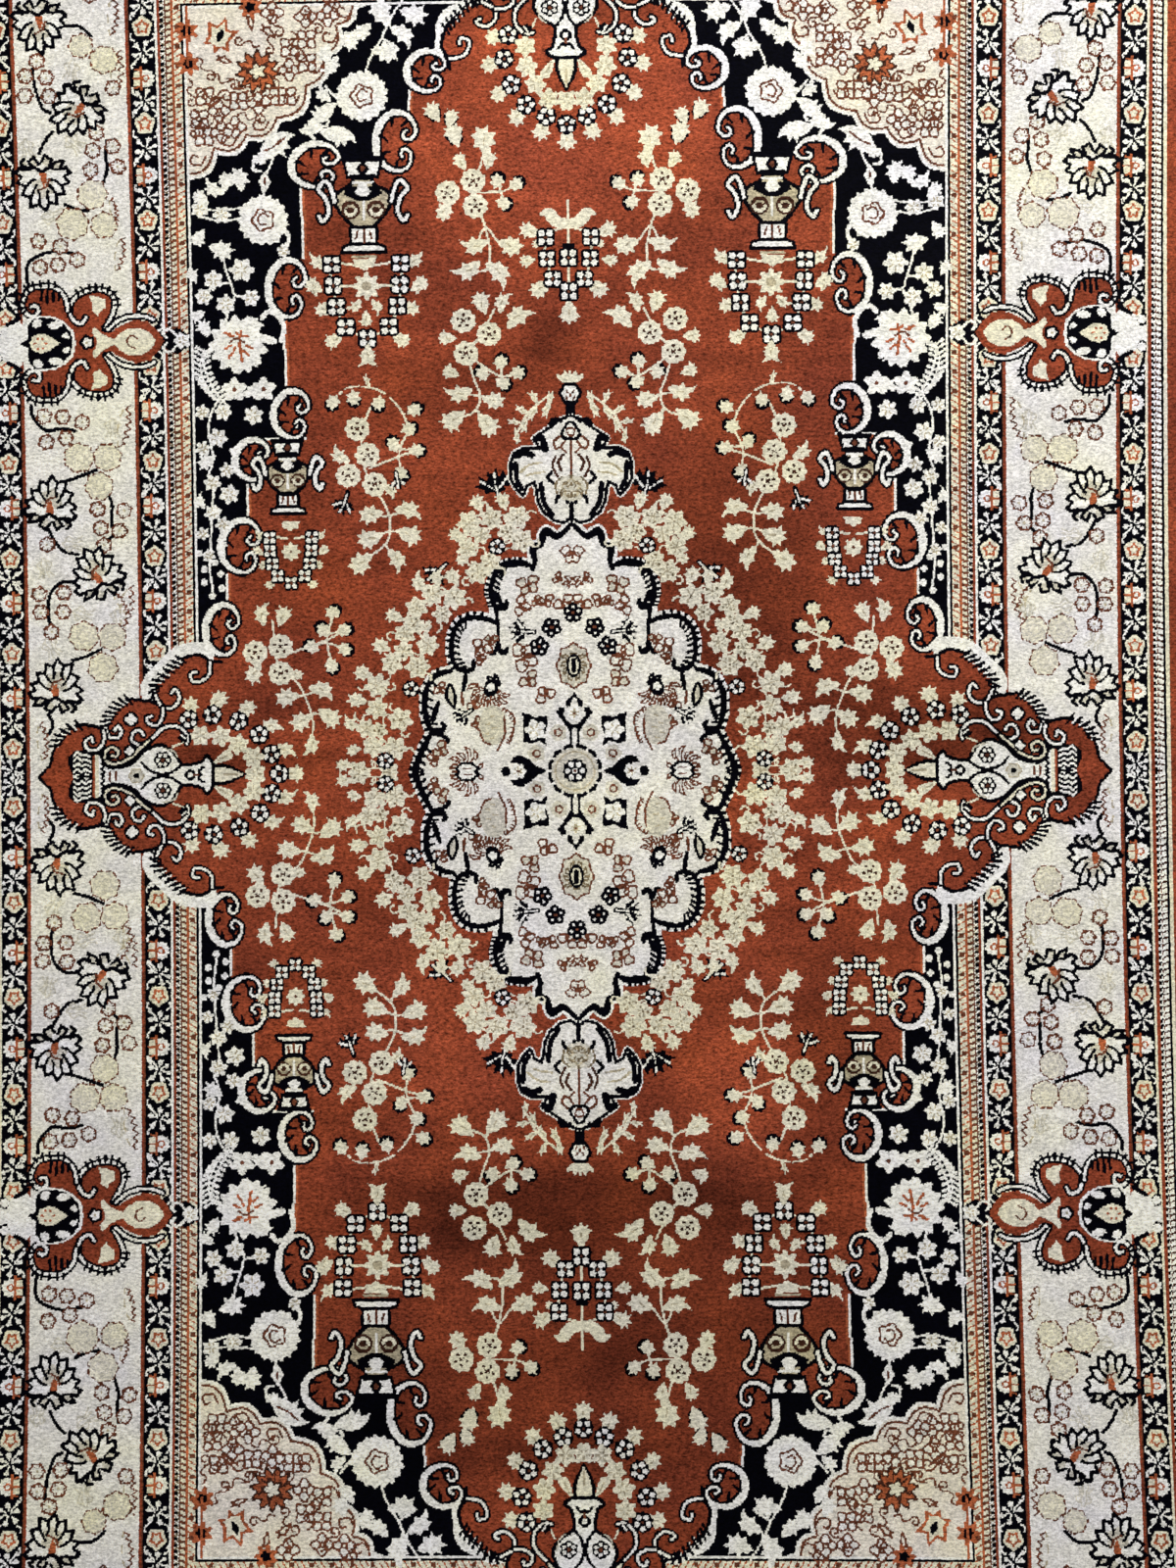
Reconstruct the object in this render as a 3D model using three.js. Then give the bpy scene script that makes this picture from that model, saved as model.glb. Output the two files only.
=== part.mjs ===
// A hand-knotted silk pile rug with a medallion field, lying flat on a floor.
// It is one woven cloth: a warp and weft foundation, a cut pile knotted over nearly all of it,
// an overcast selvedge down each long side and a narrow flat-woven strip across each short end.
// Frame: origin on the floor under the middle of the rug, +X across it, +Y along it, +Z up.
import * as THREE from "three";

// Driving dimensions, in millimetres.
const KNOT = 2.5; // pitch of the knots, across and along
const KNOTS_ACROSS = 521;
const KNOTS_ALONG = 845;
const FOUNDATION = 2.2; // thickness of the warp and weft under the pile
const PILE = 4.8; // height of the cut pile above the foundation
const SELVEDGE_WIDTH = 5; // overcast roll beside the outermost column of knots
const SELVEDGE_HEIGHT = 4;
const END_WEAVE = 12; // flat-woven strip beyond the last row of knots
const UNEVENNESS = 0.4; // how far the pile's surface rises and dips about its mean
const INNER_STATION = 85; // largest spacing of the surface's points inside the rims

const SURFACE = FOUNDATION + PILE;
const WIDTH = KNOTS_ACROSS * KNOT + 2 * SELVEDGE_WIDTH;
const LENGTH = KNOTS_ALONG * KNOT + 2 * END_WEAVE;

// The cloth's section at its rims: how high it is at each distance in from the outermost edge.
const SIDE_SECTION = [
  { inset: 0, height: 0.35 * SELVEDGE_HEIGHT },
  { inset: 0.2 * SELVEDGE_WIDTH, height: 0.8 * SELVEDGE_HEIGHT },
  { inset: 0.5 * SELVEDGE_WIDTH, height: SELVEDGE_HEIGHT },
  { inset: 0.85 * SELVEDGE_WIDTH, height: 0.8 * SELVEDGE_HEIGHT },
  { inset: SELVEDGE_WIDTH, height: FOUNDATION },
  { inset: SELVEDGE_WIDTH + 0.6, height: FOUNDATION + 0.6 * PILE },
  { inset: SELVEDGE_WIDTH + 2, height: FOUNDATION + 0.88 * PILE },
  { inset: SELVEDGE_WIDTH + 5, height: SURFACE },
];
const END_SECTION = [
  { inset: 0, height: 0.45 * FOUNDATION },
  { inset: 0.6, height: FOUNDATION },
  { inset: END_WEAVE, height: FOUNDATION },
  { inset: END_WEAVE + 0.6, height: FOUNDATION + 0.6 * PILE },
  { inset: END_WEAVE + 2, height: FOUNDATION + 0.88 * PILE },
  { inset: END_WEAVE + 5, height: SURFACE },
];

// Height of a section at a distance in from the edge, straight between its rows.
function heightIn(section, inset) {
  const next = section.findIndex((row) => row.inset >= inset);
  if (next < 0) return SURFACE;
  if (next === 0) return section[0].height;
  const [outer, inner] = [section[next - 1], section[next]];
  const share = (inset - outer.inset) / (inner.inset - outer.inset);
  return outer.height + share * (inner.height - outer.height);
}

// Points along one direction: every row of the section at both rims, and even steps between them.
function stations(extent, section) {
  const insets = section.map((row) => row.inset);
  const rim = insets[insets.length - 1];
  const inner = extent - 2 * rim;
  const steps = Math.ceil(inner / INNER_STATION);
  const between = [];
  for (let step = 1; step < steps; step++) between.push(rim + (inner * step) / steps);
  const far = insets.map((inset) => extent - inset).reverse();
  return [...insets, ...between, ...far].map((inset) => inset - extent / 2);
}

// Slow rise and dip of a pile that has been walked on and brushed.
function unevenness(x, y) {
  const across = Math.sin(x / 97 + 0.8) * Math.cos(y / 143);
  const along = Math.sin(y / 71 + x / 260);
  return UNEVENNESS * (0.6 * across + 0.4 * along);
}

// Height of the rug's upper side at a point: the lower of the two sections, uneven where it is pile.
function surfaceHeight(x, y) {
  const side = heightIn(SIDE_SECTION, WIDTH / 2 - Math.abs(x));
  const end = heightIn(END_SECTION, LENGTH / 2 - Math.abs(y));
  const height = Math.min(side, end);
  const pileShare = Math.max(0, (height - FOUNDATION) / PILE);
  return height + pileShare * unevenness(x, y);
}

// The whole cloth: a box whose grid of points is moved to the stations and to the section's heights.
function rugGeometry() {
  const columns = stations(WIDTH, SIDE_SECTION);
  const rows = stations(LENGTH, END_SECTION);
  const geometry = new THREE.BoxGeometry(1, 1, 1, columns.length - 1, rows.length - 1, 1);
  const position = geometry.getAttribute("position");
  for (let i = 0; i < position.count; i++) {
    const x = columns[Math.round((position.getX(i) + 0.5) * (columns.length - 1))];
    const y = rows[Math.round((position.getY(i) + 0.5) * (rows.length - 1))];
    const isUpper = position.getZ(i) > 0;
    position.setXYZ(i, x, y, isUpper ? surfaceHeight(x, y) : 0);
  }
  geometry.computeVertexNormals();
  return geometry;
}

const silkPile = new THREE.MeshStandardMaterial({
  name: "silk_pile",
  color: 0xa5512e,
  roughness: 0.55,
  metalness: 0,
});

const rug = new THREE.Mesh(rugGeometry(), silkPile);
rug.name = "rug";

const part = new THREE.Group();
part.add(rug);

export default part;
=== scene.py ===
# %% [markdown]
# # A hand-knotted silk rug
#
# The rug is one cloth: a woven foundation with rows of silk knots on it, cut to a short pile.
# A weaver ties it from a chart on squared paper, one square for each knot. This notebook works the
# same way. It draws the chart in numbers, and then each corner of a tuft takes the dye of one knot.

import bpy
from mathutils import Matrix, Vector


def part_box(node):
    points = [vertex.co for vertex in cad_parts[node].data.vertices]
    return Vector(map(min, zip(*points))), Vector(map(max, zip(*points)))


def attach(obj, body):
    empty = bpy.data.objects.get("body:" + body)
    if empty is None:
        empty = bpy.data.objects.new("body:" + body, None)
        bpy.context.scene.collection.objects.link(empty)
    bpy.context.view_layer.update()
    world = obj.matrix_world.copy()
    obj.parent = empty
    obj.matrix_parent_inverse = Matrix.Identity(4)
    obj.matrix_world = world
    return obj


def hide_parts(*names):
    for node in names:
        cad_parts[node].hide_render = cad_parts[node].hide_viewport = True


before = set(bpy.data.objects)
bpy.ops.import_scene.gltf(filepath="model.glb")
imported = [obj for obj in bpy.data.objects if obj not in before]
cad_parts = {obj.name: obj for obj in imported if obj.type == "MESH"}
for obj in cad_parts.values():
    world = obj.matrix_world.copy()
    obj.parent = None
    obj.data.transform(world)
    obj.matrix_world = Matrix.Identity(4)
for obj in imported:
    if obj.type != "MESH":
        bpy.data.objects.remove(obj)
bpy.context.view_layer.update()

# %% [markdown]
# ## The chart
#
# The pile is a grid of tufts 2.5 mm apart, 521 across the rug and 845 along it, and each tuft holds
# two by two knots. The design mirrors left to right and top to bottom, so only one quarter is drawn.
# The grid below holds one number for each knot: the dye of its yarn. Places are millimetres from the
# middle of the rug, +X to the right and +Y up, and the quarter runs to the upper right corner.

# %% Dyes and the empty chart
from contextlib import contextmanager

import numpy as np

TUFT = 2.5
KNOT = TUFT / 2
COLUMNS = 521
ROWS = 845

DYES = {
    "rust": (0.272, 0.055, 0.024),
    "black": (0.0010, 0.0010, 0.0030),
    "ivory": (0.860, 0.830, 0.745),
    "cream": (0.830, 0.780, 0.590),
    "brown": (0.150, 0.047, 0.024),
    "beige": (0.520, 0.450, 0.300),
    "white": (0.930, 0.910, 0.830),
    "copper": (0.440, 0.115, 0.045),
    "umber": (0.060, 0.022, 0.013),
    "blush": (0.850, 0.780, 0.650),
    "olive": (0.200, 0.150, 0.085),
    "mist": (0.670, 0.630, 0.510),
}
RUST, BLACK, IVORY, CREAM, BROWN, BEIGE, WHITE, COPPER, UMBER, BLUSH, OLIVE, MIST = range(len(DYES))

across = (np.arange(COLUMNS) + 0.5) * KNOT
along = (np.arange(ROWS) + 0.5) * KNOT
chart = np.full((ROWS, COLUMNS), IVORY, dtype=np.int8)
print("quarter of the chart:", chart.shape)

# %% [markdown]
# A motif is drawn about its own middle and then seated at its place, turned, sized or mirrored. The
# seats stack, so a vase with two handles is seated once and everything in it follows.

# %% Seats
seats = [(np.eye(2), np.zeros(2))]


@contextmanager
def seated(x=0.0, y=0.0, turn=0.0, size=1.0, flip=False, swap=False):
    outer, origin = seats[-1]
    cosine, sine = np.cos(np.radians(turn)), np.sin(np.radians(turn))
    own = size * np.array([[cosine, -sine], [sine, cosine]])
    if flip:
        own = own @ np.diag([-1.0, 1.0])
    if swap:
        own = own @ np.array([[0.0, 1.0], [1.0, 0.0]])
    seats.append((outer @ own, outer @ np.array([x, y]) + origin))
    try:
        yield
    finally:
        seats.pop()


def on_chart(points):
    matrix, origin = seats[-1]
    return np.asarray(points, float).reshape(-1, 2) @ matrix.T + origin


# %% [markdown]
# Two ways of painting are enough. `fill` colours each knot whose middle lies inside an outline, and
# `line` colours each knot near a path, so a line one knot wide stays joined up.

# %% Fill and line
def window(points, margin):
    low = np.floor((points.min(axis=0) - margin) / KNOT).astype(int).clip(0)
    high = np.ceil((points.max(axis=0) + margin) / KNOT).astype(int).clip(-1) + 1
    return slice(low[1], high[1]), slice(low[0], high[0])


def fill(points, dye):
    outline = on_chart(points)
    rows, columns = window(outline, 0.0)
    y, x = along[rows][:, None], across[columns][None, :]
    inside = np.zeros((y.size, x.size), bool)
    for (x0, y0), (x1, y1) in zip(outline, np.roll(outline, -1, axis=0)):
        if y0 != y1:
            inside ^= ((y0 > y) != (y1 > y)) & (x < x0 + (y - y0) * (x1 - x0) / (y1 - y0))
    chart[rows, columns][inside] = dye


BLACK_SPREAD = 0.4


def line(points, dye, width=2.5, closed=False):
    """Black yarn spreads a little over its neighbours, so a black line is drawn wider."""
    path = on_chart(points)
    half = np.broadcast_to(np.asarray(width, float) / 2, len(path)) + BLACK_SPREAD * (dye == BLACK)
    if closed:
        path, half = np.vstack([path, path[:1]]), np.append(half, half[0])
    rows, columns = window(path, half.max())
    y, x = along[rows][:, None], across[columns][None, :]
    outside = np.full((y.size, x.size), np.inf)
    for (x0, y0), (x1, y1), h0, h1 in zip(path[:-1], path[1:], half[:-1], half[1:]):
        dx, dy = x1 - x0, y1 - y0
        share = (((x - x0) * dx + (y - y0) * dy) / max(dx * dx + dy * dy, 1e-9)).clip(0, 1)
        away = np.hypot(x - x0 - share * dx, y - y0 - share * dy)
        outside = np.minimum(outside, away - h0 - share * (h1 - h0))
    chart[rows, columns][outside <= 0] = dye


# %% [markdown]
# The paths come from a few kinds of outline: a smooth curve through given points, a ring with petals,
# a curl that winds in on itself, and an outline given by its right half.

# %% Outlines
def curve(points, closed=False, steps=6):
    p = np.asarray(points, float)
    before = np.roll(p, 1, axis=0) if closed else np.vstack([p[:1], p[:-1]])
    after = np.roll(p, -1, axis=0) if closed else np.vstack([p[1:], p[-1:]])
    slope = (after - before) / 2
    pieces = []
    for i in range(len(p) if closed else len(p) - 1):
        j = (i + 1) % len(p)
        t = np.arange(steps)[:, None] / steps
        pieces.append(
            (2 * t**3 - 3 * t**2 + 1) * p[i] + (t**3 - 2 * t**2 + t) * slope[i]
            + (3 * t**2 - 2 * t**3) * p[j] + (t**3 - t**2) * slope[j]
        )
    return np.vstack(pieces if closed else pieces + [p[-1:]])


def ring(radius, petals=0, depth=0.0, turn=0.0, tall=1.0):
    angle = np.radians(np.arange(0, 360, 6))
    reach = radius * (1 + depth * np.cos(petals * (angle - np.radians(turn))))
    return np.stack([reach * np.cos(angle), tall * reach * np.sin(angle)], axis=1)


def curl(eye, start, turns, hand):
    eye, start = np.asarray(eye, float), np.asarray(start, float)
    radius = np.hypot(*(start - eye))
    first = np.arctan2(start[1] - eye[1], start[0] - eye[0])
    t = np.linspace(0, 1, 20)
    angle = first + hand * 2 * np.pi * turns * t
    reach = radius * (1 - 0.72 * t)
    return eye + np.stack([reach * np.cos(angle), reach * np.sin(angle)], axis=1)


def symmetric(half):
    half = np.asarray(half, float)
    return np.vstack([half, half[::-1] * (-1, 1)])


def outlined(points, dye, edge, width=2.5):
    fill(points, dye)
    line(points, edge, width, closed=True)


def both_sides():
    return (False, True)


# %% [markdown]
# ## Small motifs
#
# The same few flowers and leaves fill the whole rug. Each is only one or two dozen knots wide, so
# simple outlines already come out with the ragged, stepped edge that knots give.

# %% Flowers and leaves
def dot(x, y, size, dye):
    line([(x, y), (x + 0.1, y)], dye, size)


def blossom(x, y, radius, dye=CREAM, petals=6, depth=0.18, turn=0.0, heart=None):
    with seated(x, y, turn):
        fill(ring(radius, petals, depth), dye)
        for k in range(petals):
            with seated(turn=(k + 0.5) * 360 / petals):
                line([(0.28 * radius, 0), (0.66 * radius, 0)], BEIGE, 1.5)
        if heart is not None:
            dot(0, 0, 3.0, heart)


def dotted_flower(x, y, radius=12.4):
    with seated(x, y):
        fill(ring(radius, 9, 0.06), CREAM)
        for angle in range(90, 450, 72):
            with seated(turn=angle):
                dot(6.0, 0, 3.4, UMBER)
        line([(-2, -1.6), (2, 1.6)], UMBER, 1.5)
        line([(-2, 1.6), (2, -1.6)], UMBER, 1.5)


def petal_flower(x, y, radius):
    with seated(x, y):
        fill(ring(radius, 4, 0.12, turn=45), BLACK)
        for angle in range(45, 405, 90):
            with seated(turn=angle):
                fill(ring(0.31 * radius, 5, 0.08) + (0.56 * radius, 0), WHITE)
        dot(0, 0, 3.2, BROWN)


def star_flower(x, y, radius, turn):
    with seated(x, y, turn):
        fill(ring(radius, 10, 0.06), BLACK)
        for angle in range(0, 360, 72):
            with seated(turn=angle):
                fill(ring(0.26 * radius, 5, 0.1) + (0.58 * radius, 0), WHITE)
        dot(0, 0, 2.6, BROWN)


TULIP = [
    (-14, 0), (-8, 4), (-3, 8), (3, 8), (6, 13), (9, 7), (14, 9), (11, 3), (16, 1),
    (11, -3), (13, -9), (8, -6), (5, -12), (2, -7), (-4, -7), (-9, -3),
]
LOBED_LEAF = [
    (-13, 0), (-9, 4), (-5, 4), (-4, 10), (1, 7), (5, 11), (7, 5), (13, 6), (10, 0),
    (14, -5), (8, -5), (7, -11), (2, -7), (-3, -10), (-4, -5), (-9, -4),
]
HORNED_LEAF = [
    (-14, 1), (-8, 5), (-2, 6), (0, 11), (4, 7), (9, 8), (15, 13), (13, 5), (9, 1), (13, -3),
    (7, -5), (6, -9), (1, -6), (-4, -9), (-6, -4), (-11, -3),
]
SLIM_LEAF = [
    (-13, 0), (-6, 3), (0, 4), (3, 7), (6, 3), (14, 3), (8, -1), (12, -4), (4, -3), (-2, -4), (-7, -2),
]
LEAF_SHAPES = (TULIP, LOBED_LEAF, HORNED_LEAF)


def leaf(x, y, turn=0.0, size=1.0, dye=CREAM, shape=None):
    shape = shape or LEAF_SHAPES[int(x + y) % len(LEAF_SHAPES)]
    with seated(x, y, turn, size):
        fill(shape, dye)
        if dye == CREAM:
            line([(-3, -1), (3, 1)], BEIGE, 1.5)


BUD = [
    (-13, 0), (-8, 3), (-7, 8), (-3, 6), (1, 9), (3, 5), (7, 4), (5, 0), (8, -4), (3, -4),
    (1, -8), (-3, -6), (-7, -8), (-8, -3),
]


def bud(x, y, turn):
    with seated(x, y, turn, 0.85):
        fill(ring(9.4, 8, 0.04) + (1.6, 0), BLACK)
        fill([(-14, -11), (-1, -11), (-4, 0), (-1, 11), (-14, 11)], RUST)
        fill(BUD, CREAM)


def stem(*points, dye=CREAM):
    line(curve(points), dye, 2.2)


DARK_LEAF = [
    (-2, 1), (4, 6), (6, 3), (10, 8), (12, 4), (20, 5), (15, 0), (18, -5), (10, -4), (8, -7), (3, -3),
]


def dark_sprig(x, y, turn, size):
    with seated(x, y, turn, size):
        for angle in (-50, 0, 46):
            with seated(turn=angle):
                fill(DARK_LEAF, BLACK)
                line([(3, 0.5), (8, 1)], WHITE, 2.6)
                line([(11, 1), (15, 1.5)], WHITE, 2.4)
        line([(-12, 0), (2, 0)], BLACK, 4.6)
        line([(-11, 0), (4, 0)], WHITE, 1.8)


# %% [markdown]
# ## The scrolls that edge the field
#
# A row of C-shaped leaves with a curl at both ends divides the rust field from the black band. Each
# is one band of white, thin in the curls and thick along its back, with a black line round it and
# black hooks on its inner side. One function draws it inside a box, and a short table places them.

# %% Scrolls
SCROLL_PATH = [
    # across the box, down the box, thickness of the white band
    (0.22, 0.31, 2.4), (0.31, 0.37, 2.4), (0.24, 0.46, 2.4), (0.09, 0.45, 2.6), (-0.02, 0.34, 2.8),
    (0.02, 0.20, 3.2), (0.14, 0.08, 4.0), (0.30, 0.02, 5.2), (0.52, 0.01, 6.2), (0.76, 0.11, 7.2),
    (0.92, 0.28, 7.6), (0.98, 0.48, 7.6), (0.96, 0.66, 7.0), (0.84, 0.83, 6.0), (0.64, 0.94, 4.6),
    (0.42, 0.98, 3.4), (0.22, 0.93, 2.8), (0.11, 0.80, 2.6), (0.13, 0.67, 2.6), (0.25, 0.61, 2.6),
    (0.35, 0.67, 2.6), (0.33, 0.75, 2.6),
]
HOOK = [(-2, -2.0), (4, -1.7), (10, 2.6), (9, 4.2), (3, 1.9), (-2, 2.0)]


def scroll(width, height, hooks=5):
    path = curve([(u * width, -v * height, thick) for u, v, thick in SCROLL_PATH])
    route, thick = path[:, :2], path[:, 2]
    back = slice(len(route) // 4, len(route) * 3 // 4)
    fill(route, RUST)
    line(route, BLACK, thick + 4.6)
    line(route, WHITE, thick)
    run, middle = route[back], np.array([0.42 * width, -0.5 * height])
    for k in range(hooks):
        root = run[int((k + 0.5) * len(run) / hooks)]
        inward = middle - root
        bearing = np.degrees(np.arctan2(inward[1], inward[0]))
        start = root + inward / np.hypot(*inward) * 4.5
        with seated(*start, turn=bearing):
            fill(HOOK, BLACK)


def edging(start, end):
    run = np.array([start, end], float)
    forward = run[1] - run[0]
    outward = np.array([-forward[1], forward[0]]) / np.hypot(*forward)
    for step, dye in ((-2.5, BLACK), (0, WHITE), (2.5, COPPER)):
        line(run + outward * step, dye, 2.6)


# %% [markdown]
# ## Grounds
#
# First the large areas: the black band that fills the field's corners, the pale corner pieces with
# their scalloped edge, and the rust field with its stepped outline.

# %% Field, band and corner grounds
FIELD_HALF_WIDTH = 385.0
FIELD_HALF_LENGTH = 797.5

FIELD_EDGE = [
    (0, 800), (100, 800), (122, 745), (138, 716), (158, 709), (161, 683), (168, 668), (178, 642),
    (187, 639), (228, 639), (240, 640), (262, 618), (271, 611), (270, 538), (285, 520), (291, 475),
    (290, 400), (280, 380), (276, 350), (312, 350), (324, 330), (331, 307), (331, 268), (340, 240),
    (354, 209), (353, 172), (360, 150), (374, 123), (FIELD_HALF_WIDTH, 120), (FIELD_HALF_WIDTH, 0), (0, 0),
]
SCROLLS = [
    # left, top, width, height
    (92, 793, 36, 46),
    (123, 748, 39, 42),
    (154, 686, 41, 62),
    (233, 655, 48, 46),
    (269, 536, 38, 61),
    (268, 400, 36, 50),
    (310, 350, 34, 43),
    (320, 266, 40, 56),
    (343, 178, 34, 54),
]
EDGINGS = [
    # from, to
    ((161, 683), (158, 709)),
    ((228, 639), (187, 639)),
    ((270, 538), (271, 611)),
    ((290, 400), (291, 475)),
    ((312, 350), (271, 350)),
    ((331, 268), (331, 307)),
    ((353, 172), (354, 209)),
]
CORNER_POINTS = [
    (200, 803), (212, 795), (228, 774), (242, 744), (260, 712), (291, 679), (323, 661), (356, 648),
    (388, 622),
]


def scallops(points, swell, inset=0.0):
    path = []
    points = np.asarray(points, float)
    for start, end in zip(points[:-1], points[1:]):
        forward = end - start
        size = np.hypot(*forward)
        outward = np.array([forward[1], -forward[0]]) / size
        t = np.linspace(0, 1, 9)[:, None]
        path.append(start + forward * t + outward * (swell * size * np.sin(np.pi * t) - inset))
    return np.vstack(path)


field_corners = [(0, 0), (FIELD_HALF_WIDTH, 0), (FIELD_HALF_WIDTH, FIELD_HALF_LENGTH), (0, FIELD_HALF_LENGTH)]
fill(field_corners, BLACK)
fill(np.vstack([scallops(CORNER_POINTS, 0.26), [(388, 803)]]), BLUSH)
line(scallops(CORNER_POINTS, 0.26), WHITE, 3.4)
line(scallops(CORNER_POINTS, 0.26, inset=4.5), BROWN, 2.4)

fill(FIELD_EDGE, RUST)
for start, end in EDGINGS:
    edging(start, end)
for left, top, width, height in SCROLLS:
    with seated(left, top):
        scroll(width, height)
print("field, band and corners drawn")

# %% [markdown]
# ## Borders
#
# The borders run round the field as rings of knots. A ring is placed by how many millimetres it
# lies beyond the field, and at the corners the rings of the sides and the ends simply meet.

# %% Rings of the borders
RINGS = {
    # from this distance beyond the field: dye
    -1.3: WHITE, 1.5: BLACK, 4.3: CREAM, 11.0: COPPER, 13.4: CREAM, 20.2: WHITE, 24.7: RUST, 26.9: WHITE,
    29.8: BLACK, 56.4: BROWN, 57.6: RUST, 60.2: IVORY, 172.7: RUST, 175.1: BROWN, 176.3: BLACK, 202.6: CREAM,
    205.0: RUST, 208.3: WHITE, 219.0: BLACK, 221.8: CREAM, 224.5: RUST,
}
beyond_side = across[None, :] - FIELD_HALF_WIDTH
beyond_end = along[:, None] - FIELD_HALF_LENGTH
beyond = np.maximum(beyond_side, beyond_end)
step_along = np.where(beyond_side >= beyond_end, along[:, None], across[None, :])
for first, dye in RINGS.items():
    chart[beyond >= first] = dye


def mark(first, last, every, phase, run, dye, slant=0.0):
    place_along = step_along - phase + slant * (beyond - first)
    chart[(beyond >= first) & (beyond < last) & (place_along % every < run)] = dye


mark(4.3, 11.0, 6.4, 0.0, 1.6, COPPER, slant=0.6)
mark(5.2, 9.5, 20.2, 7.5, 4.5, BROWN)
mark(13.4, 20.2, 6.4, 0.0, 2.8, BROWN, slant=0.35)
mark(18.9, 20.2, 6.4, 0.0, 4.6, BROWN)
mark(20.2, 24.6, 3.2, 0.0, 1.5, OLIVE, slant=0.8)
mark(21.4, 24.6, 6.4, 2.0, 3.0, BLACK)
mark(208.3, 212.8, 6.4, 0.0, 2.0, BLACK, slant=0.3)
mark(209.2, 211.4, 6.4, 0.0, 3.4, BLACK)
mark(212.8, 219.0, 6.4, 0.0, 2.0, UMBER, slant=0.35)
mark(212.8, 214.1, 6.4, 0.0, 4.2, BROWN)


@contextmanager
def border(side):
    at_end = side == "end"
    with seated(0 if at_end else FIELD_HALF_WIDTH, FIELD_HALF_LENGTH if at_end else 0, swap=at_end):
        yield


print("rings drawn:", len(RINGS))

# %% [markdown]
# Both black guards carry the same run of little flowers: one seen from the front, then one from the
# side, with a knot of buds between. The run repeats every 99.6 mm, and it turns back at the
# cartouche's axis.

# %% Guards
REPEAT = 99.6
FRONT_FLOWER_AT = 30.2
SIDE_FLOWER_AT = 83.2
CARTOUCHE_AXIS = 454.0
GUARD_MIDDLES = (42.5, 190.0)


def guard_front():
    fill(ring(9.6, 5, 0.08, turn=90, tall=1.1), CREAM)
    line(ring(4.6, 5, 0.2, turn=90, tall=1.1), COPPER, 1.8, closed=True)
    for turn in range(18, 378, 72):
        with seated(turn=turn):
            dot(7.0, 0, 2.5, COPPER)
    for x in (-1, 1):
        for y in (-1, 1):
            line(curve([(11.4 * x, 7.5 * y), (11.6 * x, 12 * y), (8.5 * x, 14.5 * y)]), WHITE, 1.9)


def guard_side():
    fill(ring(8.8, 11, 0.09) + (-2, 0), WHITE)
    fill([(2, -7.5), (10, -7.5), (10, 7.5), (2, 7.5)], CREAM)
    line([(2.4, -11.5), (2.4, 11.5)], COPPER, 1.9)
    line([(2.4, 0), (10, 0)], COPPER, 1.9)
    for hand in (1, -1):
        line([(2.4, 7.8 * hand), (8.5, 9.5 * hand)], COPPER, 1.8)
        line(curve([(11.2, 10 * hand), (11.4, 14 * hand), (8.0, 17 * hand)]), WHITE, 1.9)
    line(ring(3.0) + (-2.2, 0), COPPER, 1.6, closed=True)


GUARD_BUDS = [
    # across, along, radius
    (-3.3, 10, 3.1), (6.8, 7.8, 3.2), (-10, 3.6, 2.6), (8, -2.4, 3.0), (-1.5, -8.2, 3.2),
    (-8, -3.4, 2.6), (9, -11, 2.4),
]


def guard_buds():
    for x, y, radius in GUARD_BUDS:
        line([(x, y), (x * 0.25, y * 0.25)], WHITE, 1.9)
        fill(ring(0.84 * radius, 5, 0.14, turn=17 * x) + (x, y), WHITE)
    line([(-2, -2), (2, 2)], BLACK, 1.6)


GUARD_FLOWERS = [
    # place along the repeat, what is drawn
    (FRONT_FLOWER_AT, guard_front),
    (SIDE_FLOWER_AT, guard_side),
    ((FRONT_FLOWER_AT + SIDE_FLOWER_AT) / 2, guard_buds),
    ((FRONT_FLOWER_AT + SIDE_FLOWER_AT + REPEAT) / 2, guard_buds),
]
for side, length in (("side", FIELD_HALF_LENGTH), ("end", FIELD_HALF_WIDTH)):
    for middle in GUARD_MIDDLES:
        for k in range(-1, 5):
            for place, draw in GUARD_FLOWERS:
                near = place + k * REPEAT
                for along_guard in (near, 2 * CARTOUCHE_AXIS - near):
                    if near < CARTOUCHE_AXIS and along_guard < length + middle - 10:
                        with border(side), seated(middle, along_guard, flip=middle > 100):
                            draw()
print("guards drawn")

# %% [markdown]
# ## The medallion
#
# The middle of the rug is a pale medallion with lobes like a cut fruit. A black line, thick where it
# starts and toothed where it ends, runs round each lobe and curls inwards where two lobes meet.
# White shows beyond the line. Small brown flowers fill the medallion, and a rosette with black
# leaves sits in its middle.

# %% Medallion
def ticks(path, dye, length, every=2, width=1.8, lean=0.0, first=0.0):
    """Short strokes along a path: to its right side, or to its left where the length is negative."""
    forward = np.gradient(path, axis=0)
    forward = forward / np.hypot(*forward.T)[:, None]
    aside = np.column_stack([forward[:, 1], -forward[:, 0]])
    for k in range(int(first * len(path)), len(path), every):
        line([path[k], path[k] + length * aside[k] + lean * forward[k]], dye, width)


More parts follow.
